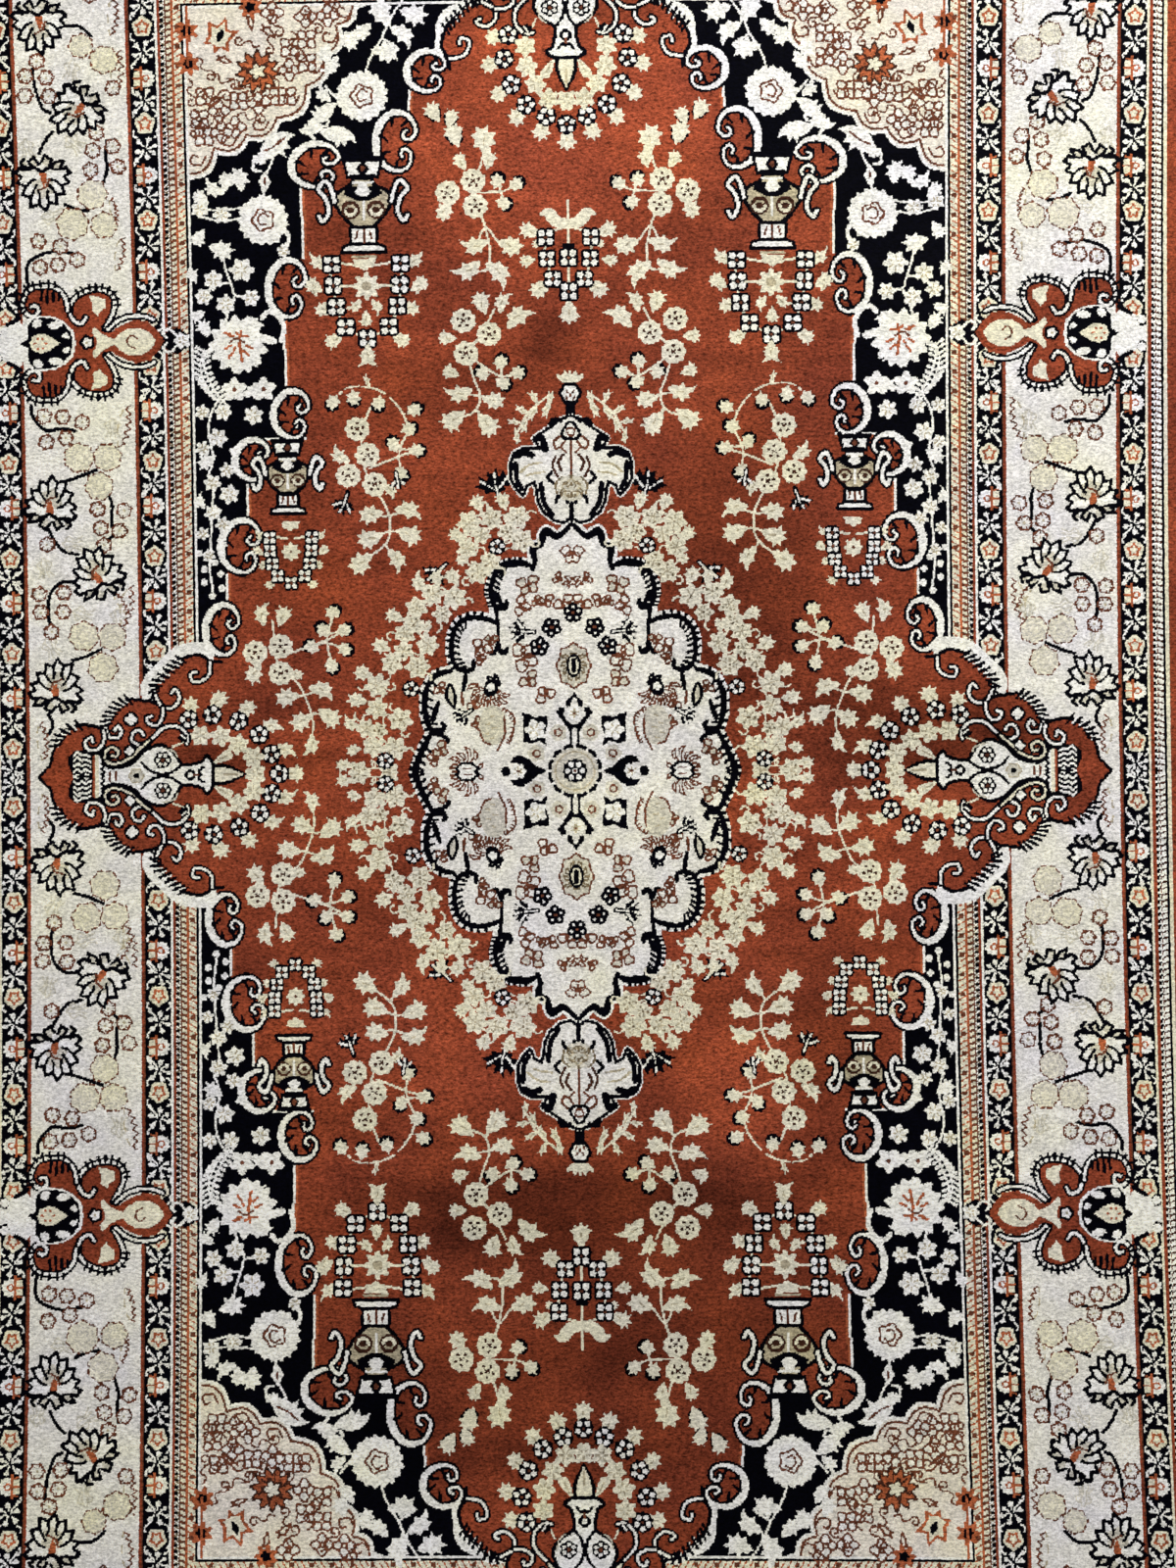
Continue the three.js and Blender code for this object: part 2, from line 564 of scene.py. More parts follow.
LOBES = [
    # across, up, thickness of the black line
    [(0, 259, 2.6), (7, 251, 3.4), (16, 245, 5), (26, 251, 5.5), (30, 245, 5.5), (32, 237, 4.5),
     (39, 234, 5.5), (40, 227, 4.5), (38, 220, 3.4), (41, 211, 3)],
    [(43, 214, 3), (50, 217, 5), (60, 217, 6), (70, 215, 5), (77, 210, 4), (82, 199, 3.2), (84, 188, 3.2),
     (83, 181, 3.2), (80, 173, 3)],
    [(80, 156, 3), (91, 160, 4), (104, 161, 4), (116, 156, 3.6), (123, 145, 3.2), (125, 133, 3),
     (124, 118, 3), (119, 108, 3)],
    [(126, 105, 2.8), (137, 103, 4.5), (146, 96, 4), (152, 83, 4.2), (153, 69, 4),
     (151, 54, 4.2), (147, 44, 3.4)],
    [(147, 40, 3), (152, 31, 4), (158, 18, 4.5), (163, 5, 4.5), (164, 0, 4.5)],
]
CURLS = [
    [(80, 173, 3), (75, 170, 4), (69, 172, 4), (68, 178, 3)],
    [(79, 169, 2.6), (77, 150, 2.8), (77, 135, 3), (75, 126, 4), (70, 124, 3.4), (68, 128, 3)],
    [(77, 133, 3), (82, 123, 2.6), (87, 124, 2)],
    [(119, 108, 3), (111, 105, 3.4), (103, 108, 3.4), (103, 115, 2.8)],
    [(111, 101, 2.4), (112, 92, 3.4), (113, 85, 2)],
    [(147, 44, 3.4), (138, 42, 4), (133, 47, 3.4), (136, 51, 2.4)],
    [(147, 40, 3), (136, 38, 3), (130, 33, 3.4), (134, 29, 3)],
    [(139, 73, 2), (142, 64, 4), (145, 54, 3)],
]
paths = [curve(lobe) for lobe in LOBES]
outline = np.vstack([path[:, :2] for path in paths])
line(outline, WHITE, 12.5)
fill(np.vstack([outline, [(0, 0)]]), IVORY)
for path in paths + [curve(curl_path) for curl_path in CURLS]:
    line(path[:, :2], BLACK, 1.3 * path[:, 2])
for path, every in zip(paths[1:], (3, 3, 4, 3)):
    ticks(path[:, :2], BLACK, 8.0, every, 2.3, lean=2.8, first=0.35)
    ticks(path[:, :2], BLACK, -5.4, every, 2.3, lean=-1.8, first=0.2)
print("medallion outline drawn")


# %% Motifs in the medallion
def line_flower(x, y, radius, petals, turn, ground, tail=0.0):
    with seated(x, y, turn):
        for k in range(petals):
            with seated(turn=k * 360 / (petals + (1 if tail else 0)) + (60 if tail else 0)):
                petal = ring(radius * 0.5, 3, 0.12) + (radius * 0.66, 0)
                if ground is not None:
                    fill(petal, ground)
                line(petal, BROWN, 2.1, closed=True)
        if tail:
            line([(0, 0), (-tail, 1.5)], BROWN, 2.4)


def ring_flower(x, y, turn, radius=9.5, petals=5):
    with seated(x, y, turn):
        for k in range(petals):
            with seated(turn=k * 360 / petals):
                petal = ring(0.34 * radius) + (0.62 * radius, 0)
                fill(petal, WHITE)
                line(petal, BLACK, 2.6, closed=True)
        dot(0, 0, 3.2, BROWN)


def fingers(turns, near, far, dye=BROWN, width=1.9):
    """Fine hooked strokes that fan out from a palmette's heart."""
    for k, angle in enumerate(turns):
        with seated(turn=angle):
            reach = far + (3 if k % 2 else 0)
            line(curve([(near, -1.5), (0.6 * reach, 0.8), (reach, -1.2)]), dye, width)
            line(curve([(0.55 * reach, 3.2), (0.85 * reach, 3.4), (reach, -1.2)]), dye, width)


MEDALLION_FLOWERS = [
    # across, up, radius, bearing
    (0, 229, 10, 90), (46, 196, 10, 90), (54, 173, 9, 40), (28, 179, 7, 95), (38, 178, 5, 60),
    (10, 177, 9, 90), (52, 119, 13, 0), (47, 97, 9, 80), (29, 78, 9, -90), (93, 131, 9, 150),
    (84, 139, 6, 120), (97, 118, 6, 20), (138, 88, 6, 70), (139, 24, 8, 60), (104, 72, 7, 60),
    (146, 12, 6, 0), (98, 50, 6, 200), (16, 202, 5, 60),
]
for k, (x, y, radius, bearing) in enumerate(MEDALLION_FLOWERS):
    petals = 4 if radius > 9 else 3
    ground = MIST if k % 3 == 1 else None
    line_flower(x, y, radius, petals, bearing, ground, tail=radius * 0.9)
for x, y, turn in ((0, 165, 90), (22, 150, 60), (35, 130, 30)):
    ring_flower(x, y, turn)
dark_sprig(50, 146, 5, 0.85)
dark_sprig(112, 60, -30, 0.7)
outlined(curve([(127, 91), (131, 81), (127, 71), (123, 69), (122, 80)], closed=True), MIST, BLACK, 2.6)
line([(115, 82), (114, 70)], BROWN, 3)
with seated(0, 110):
    fill(ring(17, 8, 0.06, tall=1.35), MIST)
    line(ring(16.5, 8, 0.07, tall=1.35), BROWN, 1.8, closed=True)
    fingers(range(0, 360, 40), 7, 13, OLIVE)
    outlined(ring(6.4, tall=1.7), CREAM, BLACK, 2.2)
    line([(0, -5), (0, 6)], BLACK, 3.4)
with seated(85, 88, -75):
    fingers(range(-80, 90, 22), 6, 21)
    fingers((150, 185, 215), 5, 11, BLACK)
    outlined(ring(6, 5, 0.1), WHITE, BLACK, 2.2)
    line([(6, -5), (9, 0), (6, 5)], BLACK, 2.4)
with seated(108, 3):
    fingers(range(-100, 110, 26), 6, 20)
    fingers((160, 200), 5, 15)
    outlined([(-10, 0), (-2, 6), (8, 6), (14, 0), (8, -6), (-2, -6)], WHITE, BLACK, 2.2)
    line([(-2, 0), (6, 0)], BROWN, 2)
with seated(0, 190, 90):
    fingers(range(-60, 70, 30), 4, 12)
BIG_LEAF = [(71, 60), (78, 67), (88, 68), (95, 60), (97, 48), (94, 34), (86, 27), (76, 30), (71, 42)]
fill(curve(BIG_LEAF, closed=True), MIST)
line(curve([(72, 66), (62, 57), (63, 40), (67, 29)]), BROWN, 2.2)
line(curve([(72, 58), (71, 42), (74, 32), (79, 22)]), BROWN, 2.2)
line(curve([(97, 40), (93, 31), (86, 28)]), BROWN, 2.2)
ticks(curve([(72, 66), (62, 57), (63, 40), (67, 29)]), BROWN, -3, 2)
for x, y in ((82, 58), (87, 50), (80, 46), (88, 40), (83, 35)):
    line([(x, y), (x + 4, y - 1)], BEIGE, 1.6)
print("medallion filled:", len(MEDALLION_FLOWERS), "small flowers")

# %% Rosette in the middle
fill(ring(24), MIST)
for angle in range(0, 360, 30):
    with seated(turn=angle + 15):
        fill([(23, -5), (27, -6), (29, 0), (27, 6), (23, 5), (25, 0)], BLACK)
line(ring(20), BEIGE, 1.6, closed=True)
fill(ring(12.5, 12, 0.05), BLACK)
for angle in range(0, 360, 60):
    with seated(turn=angle):
        fill(ring(2.7) + (7.8, 0), WHITE)
dot(0, 0, 5.4, WHITE)
dot(0, 0, 2.4, BROWN)
for x, y in ((16.5, 40), (39, 18.5)):
    with seated(x, y):
        fill(ring(8.6, 5, 0.08), MIST)
        line(ring(3.6), BROWN, 2.0, closed=True)
fill([(28, 57), (33, 58), (40, 56), (46, 60), (54, 61), (52, 52), (53, 46), (53, 30), (44, 29), (36, 31),
      (28, 25), (31, 36), (28, 46)], BLACK)
blossom(40, 43, 9.6, dye=WHITE, petals=5)
fill([(0, 48), (5, 50), (11, 58), (10, 66), (15, 67), (19, 61), (15, 56), (8, 46), (5, 40), (5, 26), (2, 26),
      (2, 44), (0, 46)], BLACK)
fill([(0, 84), (3, 78), (9, 73), (8, 66), (4, 68), (2, 75), (0, 76)], BLACK)
blossom(0, 60, 7.2, dye=WHITE, petals=6)
dot(0, 60, 3.4, BROWN)
fill([(29, 0), (33, 3), (40, 5), (47, 12), (55, 17), (63, 15), (66, 9), (60, 9), (56, 6), (60, 3),
      (58, 0)], BLACK)
blossom(58, 0, 7.2, dye=WHITE, petals=6)
dot(58, 0, 3.4, BROWN)
fill([(66, 0), (68, 5), (73, 5), (77, 0)], BLACK)
print("rosette drawn")

# %% [markdown]
# ## Vases and their bouquets
#
# Vases stand in the steps of the field's edge with a bouquet hanging under each. They are drawn
# from the vase's foot upwards, and the smaller one is the same drawing at a smaller size.

# %% Vases
def vase():
    body = [(9, 26), (17, 33), (26, 45), (29, 55), (24, 63), (12, 70), (10, 76)]
    handle = [(29, 52), (31, 62), (37, 74), (45, 66), (38, 56), (35, 42), (41, 32), (45, 38)]
    outlined(symmetric([(23, 0), (21, 6), (13, 9)]), WHITE, BLACK)
    outlined(symmetric([(13, 9), (14, 24), (9, 28)]), WHITE, BLACK)
    line([(0, 11), (0, 24)], BROWN)
    line([(-8, 14), (-6, 22)], BROWN, 2.2)
    line([(8, 14), (6, 22)], BROWN, 2.2)
    outlined(symmetric(curve(body)), BEIGE, BLACK, 3.4)
    fill(symmetric([(16, 68), (20, 60), (6, 53)]), BLACK)
    fill(symmetric([(3, 72), (8, 62), (3, 58)]), WHITE)
    line([(-10, 72), (10, 72)], WHITE)
    for mirrored in both_sides():
        with seated(flip=mirrored):
            with seated(13, 44):
                fill(ring(9.6), UMBER)
                line(ring(5.6)[30:], CREAM, 3.0)
                line(ring(4.4)[5:25], BEIGE, 2.4)
            line(curve(handle), BLACK, 8.0)
            line(curve(handle), WHITE, 3.6)
    line([(0, 34), (0, 52)], WHITE)
    outlined(symmetric([(15, 77), (20, 97)]), WHITE, BLACK)
    line([(-20, 95), (20, 95)], BLACK)
    fill(symmetric([(2, 80), (7, 86), (2, 93)]), BLACK)
    line([(0, 86), (0, 87)], BROWN, 5.0)
    line([(-12, 79), (12, 79)], BLACK, 2.2)


VASES = [
    # middle, foot, size
    (208, 542, 1.0),
    (290, 272, 0.79),
]
for x, foot, size in VASES:
    with seated(x, foot, size=size):
        vase()
print("vases drawn:", len(VASES))

# %% [markdown]
# A bouquet is a hoop of square, black-edged flowers on a fine stem, with leaves pointing out of it
# and a half rosette where it hangs from the vase.

# %% Bouquets
BOUQUET_FLOWERS = [(35, 0), (34, -22), (31, -44), (22, -65), (0, -77)]
BOUQUET_LEAVES = [
    # across, up, bearing
    (48, 2, 10), (53, -23, 35), (44, -46, -10), (33, -78, -35),
]


def bouquet(flower=11.2, tail=True):
    line(curve([(6, -2), (35, 0), (34, -22), (31, -44), (22, -65), (0, -77)]), CREAM)
    for x, y, bearing in BOUQUET_LEAVES:
        leaf(x, y, bearing, 0.75)
    for x, y in BOUQUET_FLOWERS:
        petal_flower(x, y, flower)
    if tail:
        leaf(0, -94, -90, 0.8)


for mirrored in both_sides():
    with seated(206, 530, flip=mirrored):
        bouquet()
    with seated(288, 247, size=0.62, flip=mirrored):
        bouquet(13.5, tail=False)
for x, y, bearing, size in ((260, 503, 60, 0.6), (153, 503, 120, 0.6)):
    leaf(x, y, bearing, size, shape=SLIM_LEAF)

with seated(208, 536):
    fill(ring(12, 8, 0.08)[30:], CREAM)
    line([(-12, 1), (12, 1)], BEIGE)
with seated(206, 507):
    line([(-26, 0), (26, 0)], CREAM)
    fill(ring(12.5, 8, 0.22, turn=90), CREAM)
    fill(ring(5), BEIGE)
for x, y, bearing in ((196, 487, -130), (217, 487, -50), (207, 474, -90)):
    leaf(x, y, bearing, 0.6)
with seated(288, 264):
    fill(ring(9.5, 8, 0.1)[30:], CREAM)
with seated(288, 232):
    fill(ring(8.5, 8, 0.2), CREAM)
    dot(0, 0, 3, BROWN)
print("bouquets drawn")

# %% [markdown]
# ## The hanging bouquet in the middle
#
# Between the arm and the pendant hangs a third bouquet, from two long leaves that curve like horns.

# %% Middle bouquet
HORN = [(0, 574), (8, 576), (14, 583), (22, 585), (29, 578), (24, 577), (20, 570), (12, 565), (0, 564)]
fill(curve(HORN), CREAM)
line([(0, 562), (0, 592)], CREAM, 3.4)
line([(0, 566), (0, 500)], CREAM, 2.4)
line(curve([(0, 566), (14, 562), (23, 555), (22, 533), (16, 512), (0, 499)]), CREAM, 2.4)
MIDDLE_TULIPS = [
    # across, up, bearing, size
    (38, 561, 20, 0.8), (41, 531, -10, 0.6), (28, 503, -40, 0.85), (0, 479, -90, 0.9), (31, 548, 0, 0.4),
]
for x, y, bearing, size in MIDDLE_TULIPS:
    leaf(x, y, bearing, size, shape=TULIP)
for x, y in ((23, 555), (22, 533), (0, 534), (16, 512), (0, 499)):
    petal_flower(x, y, 10.6 if x else 11.5)
line([(-4, 546), (4, 546)], BLACK, 5)
print("middle bouquet drawn")

# %% [markdown]
# ## Sprays
#
# Four sprays of flowers stand free in each quarter of the field. A table gives each flower, bud and
# leaf its place, and a second one the thin stems that join them.

# %% Sprays
SPRAY_FLOWERS = [
    (96, 614), (94, 588), (122, 602), (82, 456), (108, 470), (106, 436),
    (208, 332), (228, 311), (201, 301), (218, 359), (300, 133), (326, 127), (300, 105),
]
SPRAY_BUDS = [
    # across, up, bearing
    (51, 611, 150), (71, 615, 110), (64, 590, 200), (52, 416, 170), (70, 428, 120), (67, 404, 210),
    (90, 416, 60), (164, 359, 160), (182, 344, 70), (156, 336, 190), (173, 311, 230), (245, 169, 150),
    (233, 150, 170), (257, 151, 60), (233, 129, 200), (269, 133, 30), (247, 111, 240),
]
SPRAY_LEAVES = [
    # across, up, bearing, size
    (84, 655, 80, 1.05), (60, 547, 200, 0.9), (94, 547, -20, 0.85), (72, 521, 215, 0.95),
    (101, 522, -40, 0.9), (125, 584, -60, 0.75), (108, 633, 60, 0.6), (80, 634, 100, 0.6),
    (54, 473, 130, 0.95), (69, 488, 100, 0.7), (89, 487, 70, 0.75), (112, 394, -20, 0.85),
    (79, 387, 190, 0.8), (86, 364, 230, 0.9), (118, 368, -40, 0.9), (121, 416, 20, 0.6),
    (124, 452, 0, 0.6), (168, 275, 180, 0.85), (205, 270, -10, 0.85), (168, 249, 200, 0.85),
    (205, 245, -20, 0.85), (180, 224, 230, 0.8), (216, 220, -40, 0.95), (236, 330, 30, 0.7),
    (186, 296, 215, 0.55), (319, 166, 80, 0.75), (298, 164, 110, 0.7), (327, 106, -60, 0.8),
    (259, 88, 190, 0.85), (293, 80, -10, 0.85), (252, 60, 215, 0.85), (279, 55, -30, 0.85),
    (269, 30, -90, 0.7), (284, 104, 200, 0.5),
]
SPRAY_STEMS = [
    [(84, 648), (88, 630), (95, 614), (92, 590), (84, 566), (80, 540), (84, 522), (101, 522)],
    [(51, 611), (66, 603), (94, 602)],
    [(60, 547), (72, 552), (84, 566), (94, 547)],
    [(72, 521), (80, 530)],
    [(76, 482), (84, 466), (94, 450), (104, 436), (98, 410), (92, 392), (98, 376), (118, 368)],
    [(52, 416), (70, 412), (90, 424), (104, 436)],
    [(79, 387), (92, 392), (112, 394)],
    [(86, 364), (96, 378)],
    [(202, 387), (212, 360), (214, 330), (204, 300), (192, 282), (186, 262), (190, 240), (216, 220)],
    [(156, 336), (176, 330), (206, 318)],
    [(168, 275), (188, 268), (205, 270)],
    [(168, 249), (186, 252), (205, 245)],
    [(180, 224), (190, 236)],
    [(308, 160), (306, 140), (302, 110), (284, 96), (274, 76), (268, 56), (269, 30)],
    [(233, 150), (256, 138), (296, 124)],
    [(259, 88), (276, 82), (293, 80)],
    [(252, 60), (268, 62), (279, 55)],
    [(245, 169), (250, 150), (252, 136), (247, 111)],
    [(233, 129), (252, 136), (269, 133)],
    [(257, 151), (250, 146), (233, 150)],
    [(164, 359), (172, 345), (176, 330), (173, 311)],
    [(182, 344), (174, 338), (156, 336)],
    [(71, 615), (68, 603), (64, 590)],
    [(70, 428), (70, 412), (67, 404)],
]
for x, y, bearing in SPRAY_BUDS:
    bud(x, y, bearing)
for points in SPRAY_STEMS:
    stem(*points)
for x, y, bearing, size in SPRAY_LEAVES:
    leaf(x, y, bearing, 1.14 * size)
for x, y in SPRAY_FLOWERS:
    dotted_flower(x, y)
print("sprays drawn:", len(SPRAY_FLOWERS), "flowers,", len(SPRAY_LEAVES), "leaves")

# %% Dark buds and crowns beside the sprays
for x, y, bearing, size in ((114, 660, 70, 0.9), (135, 684, 60, 0.8), (118, 678, 110, 0.7)):
    with seated(x, y, bearing, size):
        fill(ring(10, 5, 0.1), BLACK)
        fill(TULIP, CREAM)
stem((165, 352), (171, 374), (186, 393), (204, 402), (226, 402), (242, 390))
stem((171, 374), (160, 378))
for x, y, bearing in ((221, 390, -100), (243, 386, -60), (196, 384, -80), (158, 379, 150)):
    bud(x, y, bearing)
leaf(207, 408, 70, 0.6, shape=SLIM_LEAF)
DARK_SPRIGS = [
    # across, up, bearing, size
    (232, 284, -70, 0.8), (76, 293, 75, 1.25), (137, 210, -45, 0.9), (178, 306, -100, 0.6),
]
for x, y, bearing, size in DARK_SPRIGS:
    dark_sprig(x, y, bearing, size)
print("dark buds drawn")

# %% [markdown]
# ## The pendant
#
# Above the medallion stands a pendant like the head of a lily: a white body with two wings, a thick
# black line round it, brown flowers in it, wavy leaves beside it and a crown on its stem.

# %% Pendant
PENDANT = [
    (0, 369), (10, 365), (19, 358), (28, 352), (36, 347), (31, 339), (26, 334), (38, 335), (49, 335),
    (57, 331), (60, 322), (60, 305), (55, 296), (50, 290), (47, 299), (37, 304), (34, 294), (33, 283),
    (28, 272), (17, 263), (8, 261), (3, 264), (0, 268),
]
PENDANT_HALF = [
    # what is drawn, its dye and its width
    ([(36, 346), (30, 348), (26, 336)], BLACK, 5.0),
    ([(10, 365), (17, 367), (21, 362)], BLACK, 3.0),
    ([(56, 329), (48, 332), (40, 330)], BLACK, 4.4),
    ([(57, 322), (56, 306), (51, 295)], BLACK, 3.4),
    ([(31, 300), (30, 288), (27, 278), (20, 268)], BLACK, 3.6),
    ([(10, 350), (17, 344), (15, 336), (9, 340)], BROWN, 2.0),
    ([(6, 344), (10, 338), (5, 332)], BROWN, 2.0),
    ([(8, 330), (13, 322), (10, 314)], UMBER, 2.6),
    ([(16, 328), (19, 318), (14, 308)], UMBER, 2.2),
    ([(20, 312), (24, 306), (18, 300)], BLACK, 2.2),
    ([(4, 280), (6, 286), (13, 287), (16, 281)], BLACK, 2.4),
    ([(10, 306), (16, 300), (15, 290)], OLIVE, 1.8),
    ([(30, 322), (42, 320), (52, 312)], BEIGE, 1.8),
    ([(28, 312), (38, 311), (46, 308)], BEIGE, 1.8),
]
line(symmetric(PENDANT), WHITE, 9.5, closed=True)
line(symmetric(PENDANT), BLACK, 6.0, closed=True)
fill(symmetric(PENDANT), IVORY)
for points, dye, width in PENDANT_HALF:
    for hand in (1, -1):
        line(curve(np.asarray(points, float) * (hand, 1)), dye, 1.3 * width)
line([(0, 262), (0, 280)], BLACK, 3.0)
line([(0, 346), (0, 307)], BROWN, 2.8)
with seated(0, 354):
    outlined(ring(8.6, 3, 0.14, turn=90), WHITE, BLACK, 2.4)
    line(ring(4, 3, 0.1, turn=-90), BROWN, 1.8, closed=True)
with seated(0, 295):
    fill(ring(14, 7, 0.06), MIST)
    line(ring(8, 5, 0.2, turn=90), BEIGE, 1.8, closed=True)
    fingers(range(30, 390, 60), 3, 10, OLIVE, 1.6)
outlined(symmetric([(4, 383), (4, 370)]), WHITE, BLACK, 2.0)
line([(0, 381), (0, 374)], BLACK, 4.0)
fill(symmetric([(6, 404), (13, 409), (14, 414), (8, 412), (6, 418), (2, 414), (0, 420)]), CREAM)
with seated(0, 394):
    outlined(ring(10, 6, 0.05), WHITE, BLACK, 2.8)
    for x, y in ((-3.5, 3), (3.5, 3), (0, -1), (-4, -4), (4, -4)):
        line([(x, y), (x * 0.8, y - 2.6)], BROWN, 2.0)

PENDANT_LEAVES = [
    # across, up, bearing, size
    (21, 388, 100, 0.8), (24, 378, -70, 0.9), (37, 389, 60, 0.8), (38, 374, -60, 0.9), (49, 376, 30, 0.8),
    (47, 362, -80, 0.9), (57, 364, 10, 0.7), (55, 350, -100, 0.8),
]
for x, y, bearing, size in PENDANT_LEAVES:
    leaf(x, y, bearing, 0.9 * size, shape=SLIM_LEAF)
stem((22, 392), (34, 382), (46, 370), (54, 354))
print("pendant drawn")

# %% [markdown]
# ## The garland
#
# A thick garland of cream blossoms follows the medallion all round, two blossoms deep.

# %% Garland
GARLAND = [
    # across, up, radius
    (56, 265, 10), (83, 265, 9), (105, 260, 10), (52, 241, 10), (107, 233, 9), (97, 208, 10), (121, 182, 10),
    (143, 186, 9), (160, 172, 9), (164, 154, 9), (149, 133, 9), (172, 145, 9), (160, 110, 10), (186, 114, 9),
    (202, 91, 10), (178, 55, 10), (202, 67, 9), (184, 25, 10), (206, 27, 9), (221, 1, 9), (190, 1, 8),
    (66, 250, 8), (93, 247, 8), (84, 219, 9), (134, 165, 8), (174, 127, 8), (213, 46, 8), (200, 44, 7),
]
GARLAND_TAILS = [
    # across, up, bearing, size
    (117, 246, 40, 0.7), (112, 222, -30, 0.6), (122, 203, 60, 0.8), (157, 196, 50, 0.8), (182, 163, 20, 0.7),
    (196, 132, 30, 0.8), (215, 104, 20, 0.8), (222, 76, 10, 0.8), (228, 50, 20, 0.7), (226, 24, -10, 0.6),
    (70, 281, 70, 0.7), (96, 279, 60, 0.7), (139, 202, 80, 0.7), (236, 8, 0, 0.7), (150, 152, -60, 0.6),
]
for x, y, bearing, size in GARLAND_TAILS:
    leaf(x, y, bearing, size)
for k, (x, y, radius) in enumerate(GARLAND):
    with seated(x, y, 65 * k):
        line(curve([(8, 0), (15, 3), (19, -1), (16, -5)]), CREAM, 2.0)
        line(curve([(-8, 2), (-14, 7), (-19, 5)]), CREAM, 2.0)
    blossom(x, y, 1.14 * radius, turn=25 * k, heart=OLIVE if k % 3 == 0 else BEIGE)
    for bearing in range(40 * k, 40 * k + 360, 120):
        with seated(x, y, bearing):
            dot(0.7 * radius, 0, 2.4, (BEIGE, OLIVE)[k % 2])
for x, y in ((77, 235), (167, 87), (194, 12)):
    star_flower(x, y, 9, turn=30)
print("garland drawn:", len(GARLAND), "blossoms")

# %% [markdown]
# ## The black band
#
# White flowers on white stems fill the black band between the scrolls and the corner pieces. Two
# large roses and a toothed palmette stand out, and smaller flowers lie between them.

# %% Black band
BAND_STEMS = [
    [(165, 800), (178, 780), (186, 762), (198, 742), (204, 722)],
    [(186, 762), (170, 752)],
    [(220, 690), (232, 700), (244, 714)],
    [(296, 652), (300, 636), (309, 618), (309, 600)],
    [(330, 590), (352, 588), (374, 589)],
    [(330, 580), (354, 577), (376, 583)],
    [(352, 552), (350, 530), (344, 512), (340, 500), (326, 498)],
    [(344, 512), (362, 512), (368, 500)],
    [(340, 500), (346, 488), (350, 474)],
    [(373, 444), (374, 430), (368, 412), (360, 396), (348, 384)],
    [(356, 396), (366, 380), (370, 360), (366, 330), (372, 312)],
    [(366, 300), (368, 270), (370, 240), (371, 214), (368, 190)],
]
BAND_FLOWERS = [
    # across, up, radius
    (352, 583, 8), (374, 589, 8), (333, 526, 11), (362, 516, 9), (324, 497, 8), (350, 491, 9), (372, 499, 8),
    (324, 375, 9), (355, 379, 8), (376, 379, 7), (361, 352, 9), (350, 293, 9), (367, 305, 8), (367, 274, 8),
    (372, 229, 6), (376, 341, 7), (352, 318, 7), (357, 262, 7), (378, 252, 6), (300, 560, 7), (290, 545, 6),
]
BAND_LEAVES = [
    # across, up, bearing, size
    (154, 786, 200, 1.1), (186, 788, 60, 1.2), (165, 767, 210, 1.0), (183, 748, 190, 1.1),
    (205, 769, -40, 0.9), (219, 760, 250, 0.8), (236, 735, -60, 0.8), (243, 748, -70, 0.8),
    (333, 619, 80, 0.95), (347, 617, 100, 0.8), (359, 609, 20, 0.8), (372, 600, 40, 0.7),
    (375, 561, -60, 0.7), (354, 547, 200, 1.0), (324, 470, 150, 0.7), (372, 465, 60, 0.7),
    (372, 328, -30, 0.8), (360, 240, 120, 0.5), (380, 285, 60, 0.6), (344, 338, 200, 0.5),
    (325, 400, 160, 0.8), (378, 480, -30, 0.6), (383, 520, 60, 0.6), (246, 704, 40, 0.7),
    (312, 640, 200, 0.6),
]
BAND_DOTS = [(360, 210), (377, 215), (359, 195), (377, 201), (369, 187), (366, 222), (382, 232), (364, 176)]


def band_rose(x, y, radius):
    with seated(x, y):
        fill(ring(radius, 17, 0.07), WHITE)
        line(ring(radius * 0.42, 5, 0.12), BROWN, 2.2, closed=True)
        line(curve([(-5, 4), (0, 7), (5, 2), (3, -5), (-3, -4)]), BROWN, 2.2)


def plumed_leaf(x, y, turn, size=1.0):
    with seated(x, y, turn, size):
        body = [(-20, -2), (-10, 6), (2, 8), (14, 4), (20, 6), (16, -2), (6, -8), (-6, -7), (-12, -4)]
        fill(curve(body), WHITE)
        fill([(-2, 6), (2, 14), (5, 7), (10, 12), (11, 4)], WHITE)
        line(curve([(-20, -2), (-26, 4), (-22, 9)]), WHITE, 3)


def fern():
    run = curve([(372, 443), (377, 430), (374, 412), (366, 398), (356, 388)])
    line(run, WHITE, 2.3)
    for k in range(1, len(run) - 1, 2):
        for hand in (-7, 6):
            line([run[k], run[k] + (hand, 4)], WHITE, 2.3)
            line([run[k] + (hand, 4), run[k] + (hand + np.sign(hand) * 2, 5)], WHITE, 3.4)


for points in BAND_STEMS:
    stem(*points, dye=WHITE)
fern()
for x, y, bearing, size in BAND_LEAVES:
    leaf(x, y, bearing, size, dye=WHITE)
for k, (x, y, radius) in enumerate(BAND_FLOWERS):
    blossom(x, y, radius, dye=WHITE, turn=31 * k)
for x, y in BAND_DOTS:
    fill(ring(3.6) + (x, y), WHITE)
band_rose(207, 703, 25.5)
band_rose(310, 577, 25)
plumed_leaf(233, 664, 190)
plumed_leaf(246, 686, -40, 0.9)
plumed_leaf(258, 670, -15, 0.7)
plumed_leaf(298, 653, 140, 1.2)
line(curve([(286, 662), (298, 652), (308, 648)]), BROWN, 2.2)
fill([(307, 628), (314, 617), (308, 604), (301, 616)], WHITE)
line([(307, 614), (307, 620)], BROWN, 2.4)
line(curve([(290, 570), (284, 558), (288, 548)]), WHITE, 4)
for x, y in ((313, 402), (343, 402)):
    with seated(x, y):
        fill(ring(11, 5, 0.22, turn=90), WHITE)
        dot(0, 0, 5, BROWN)
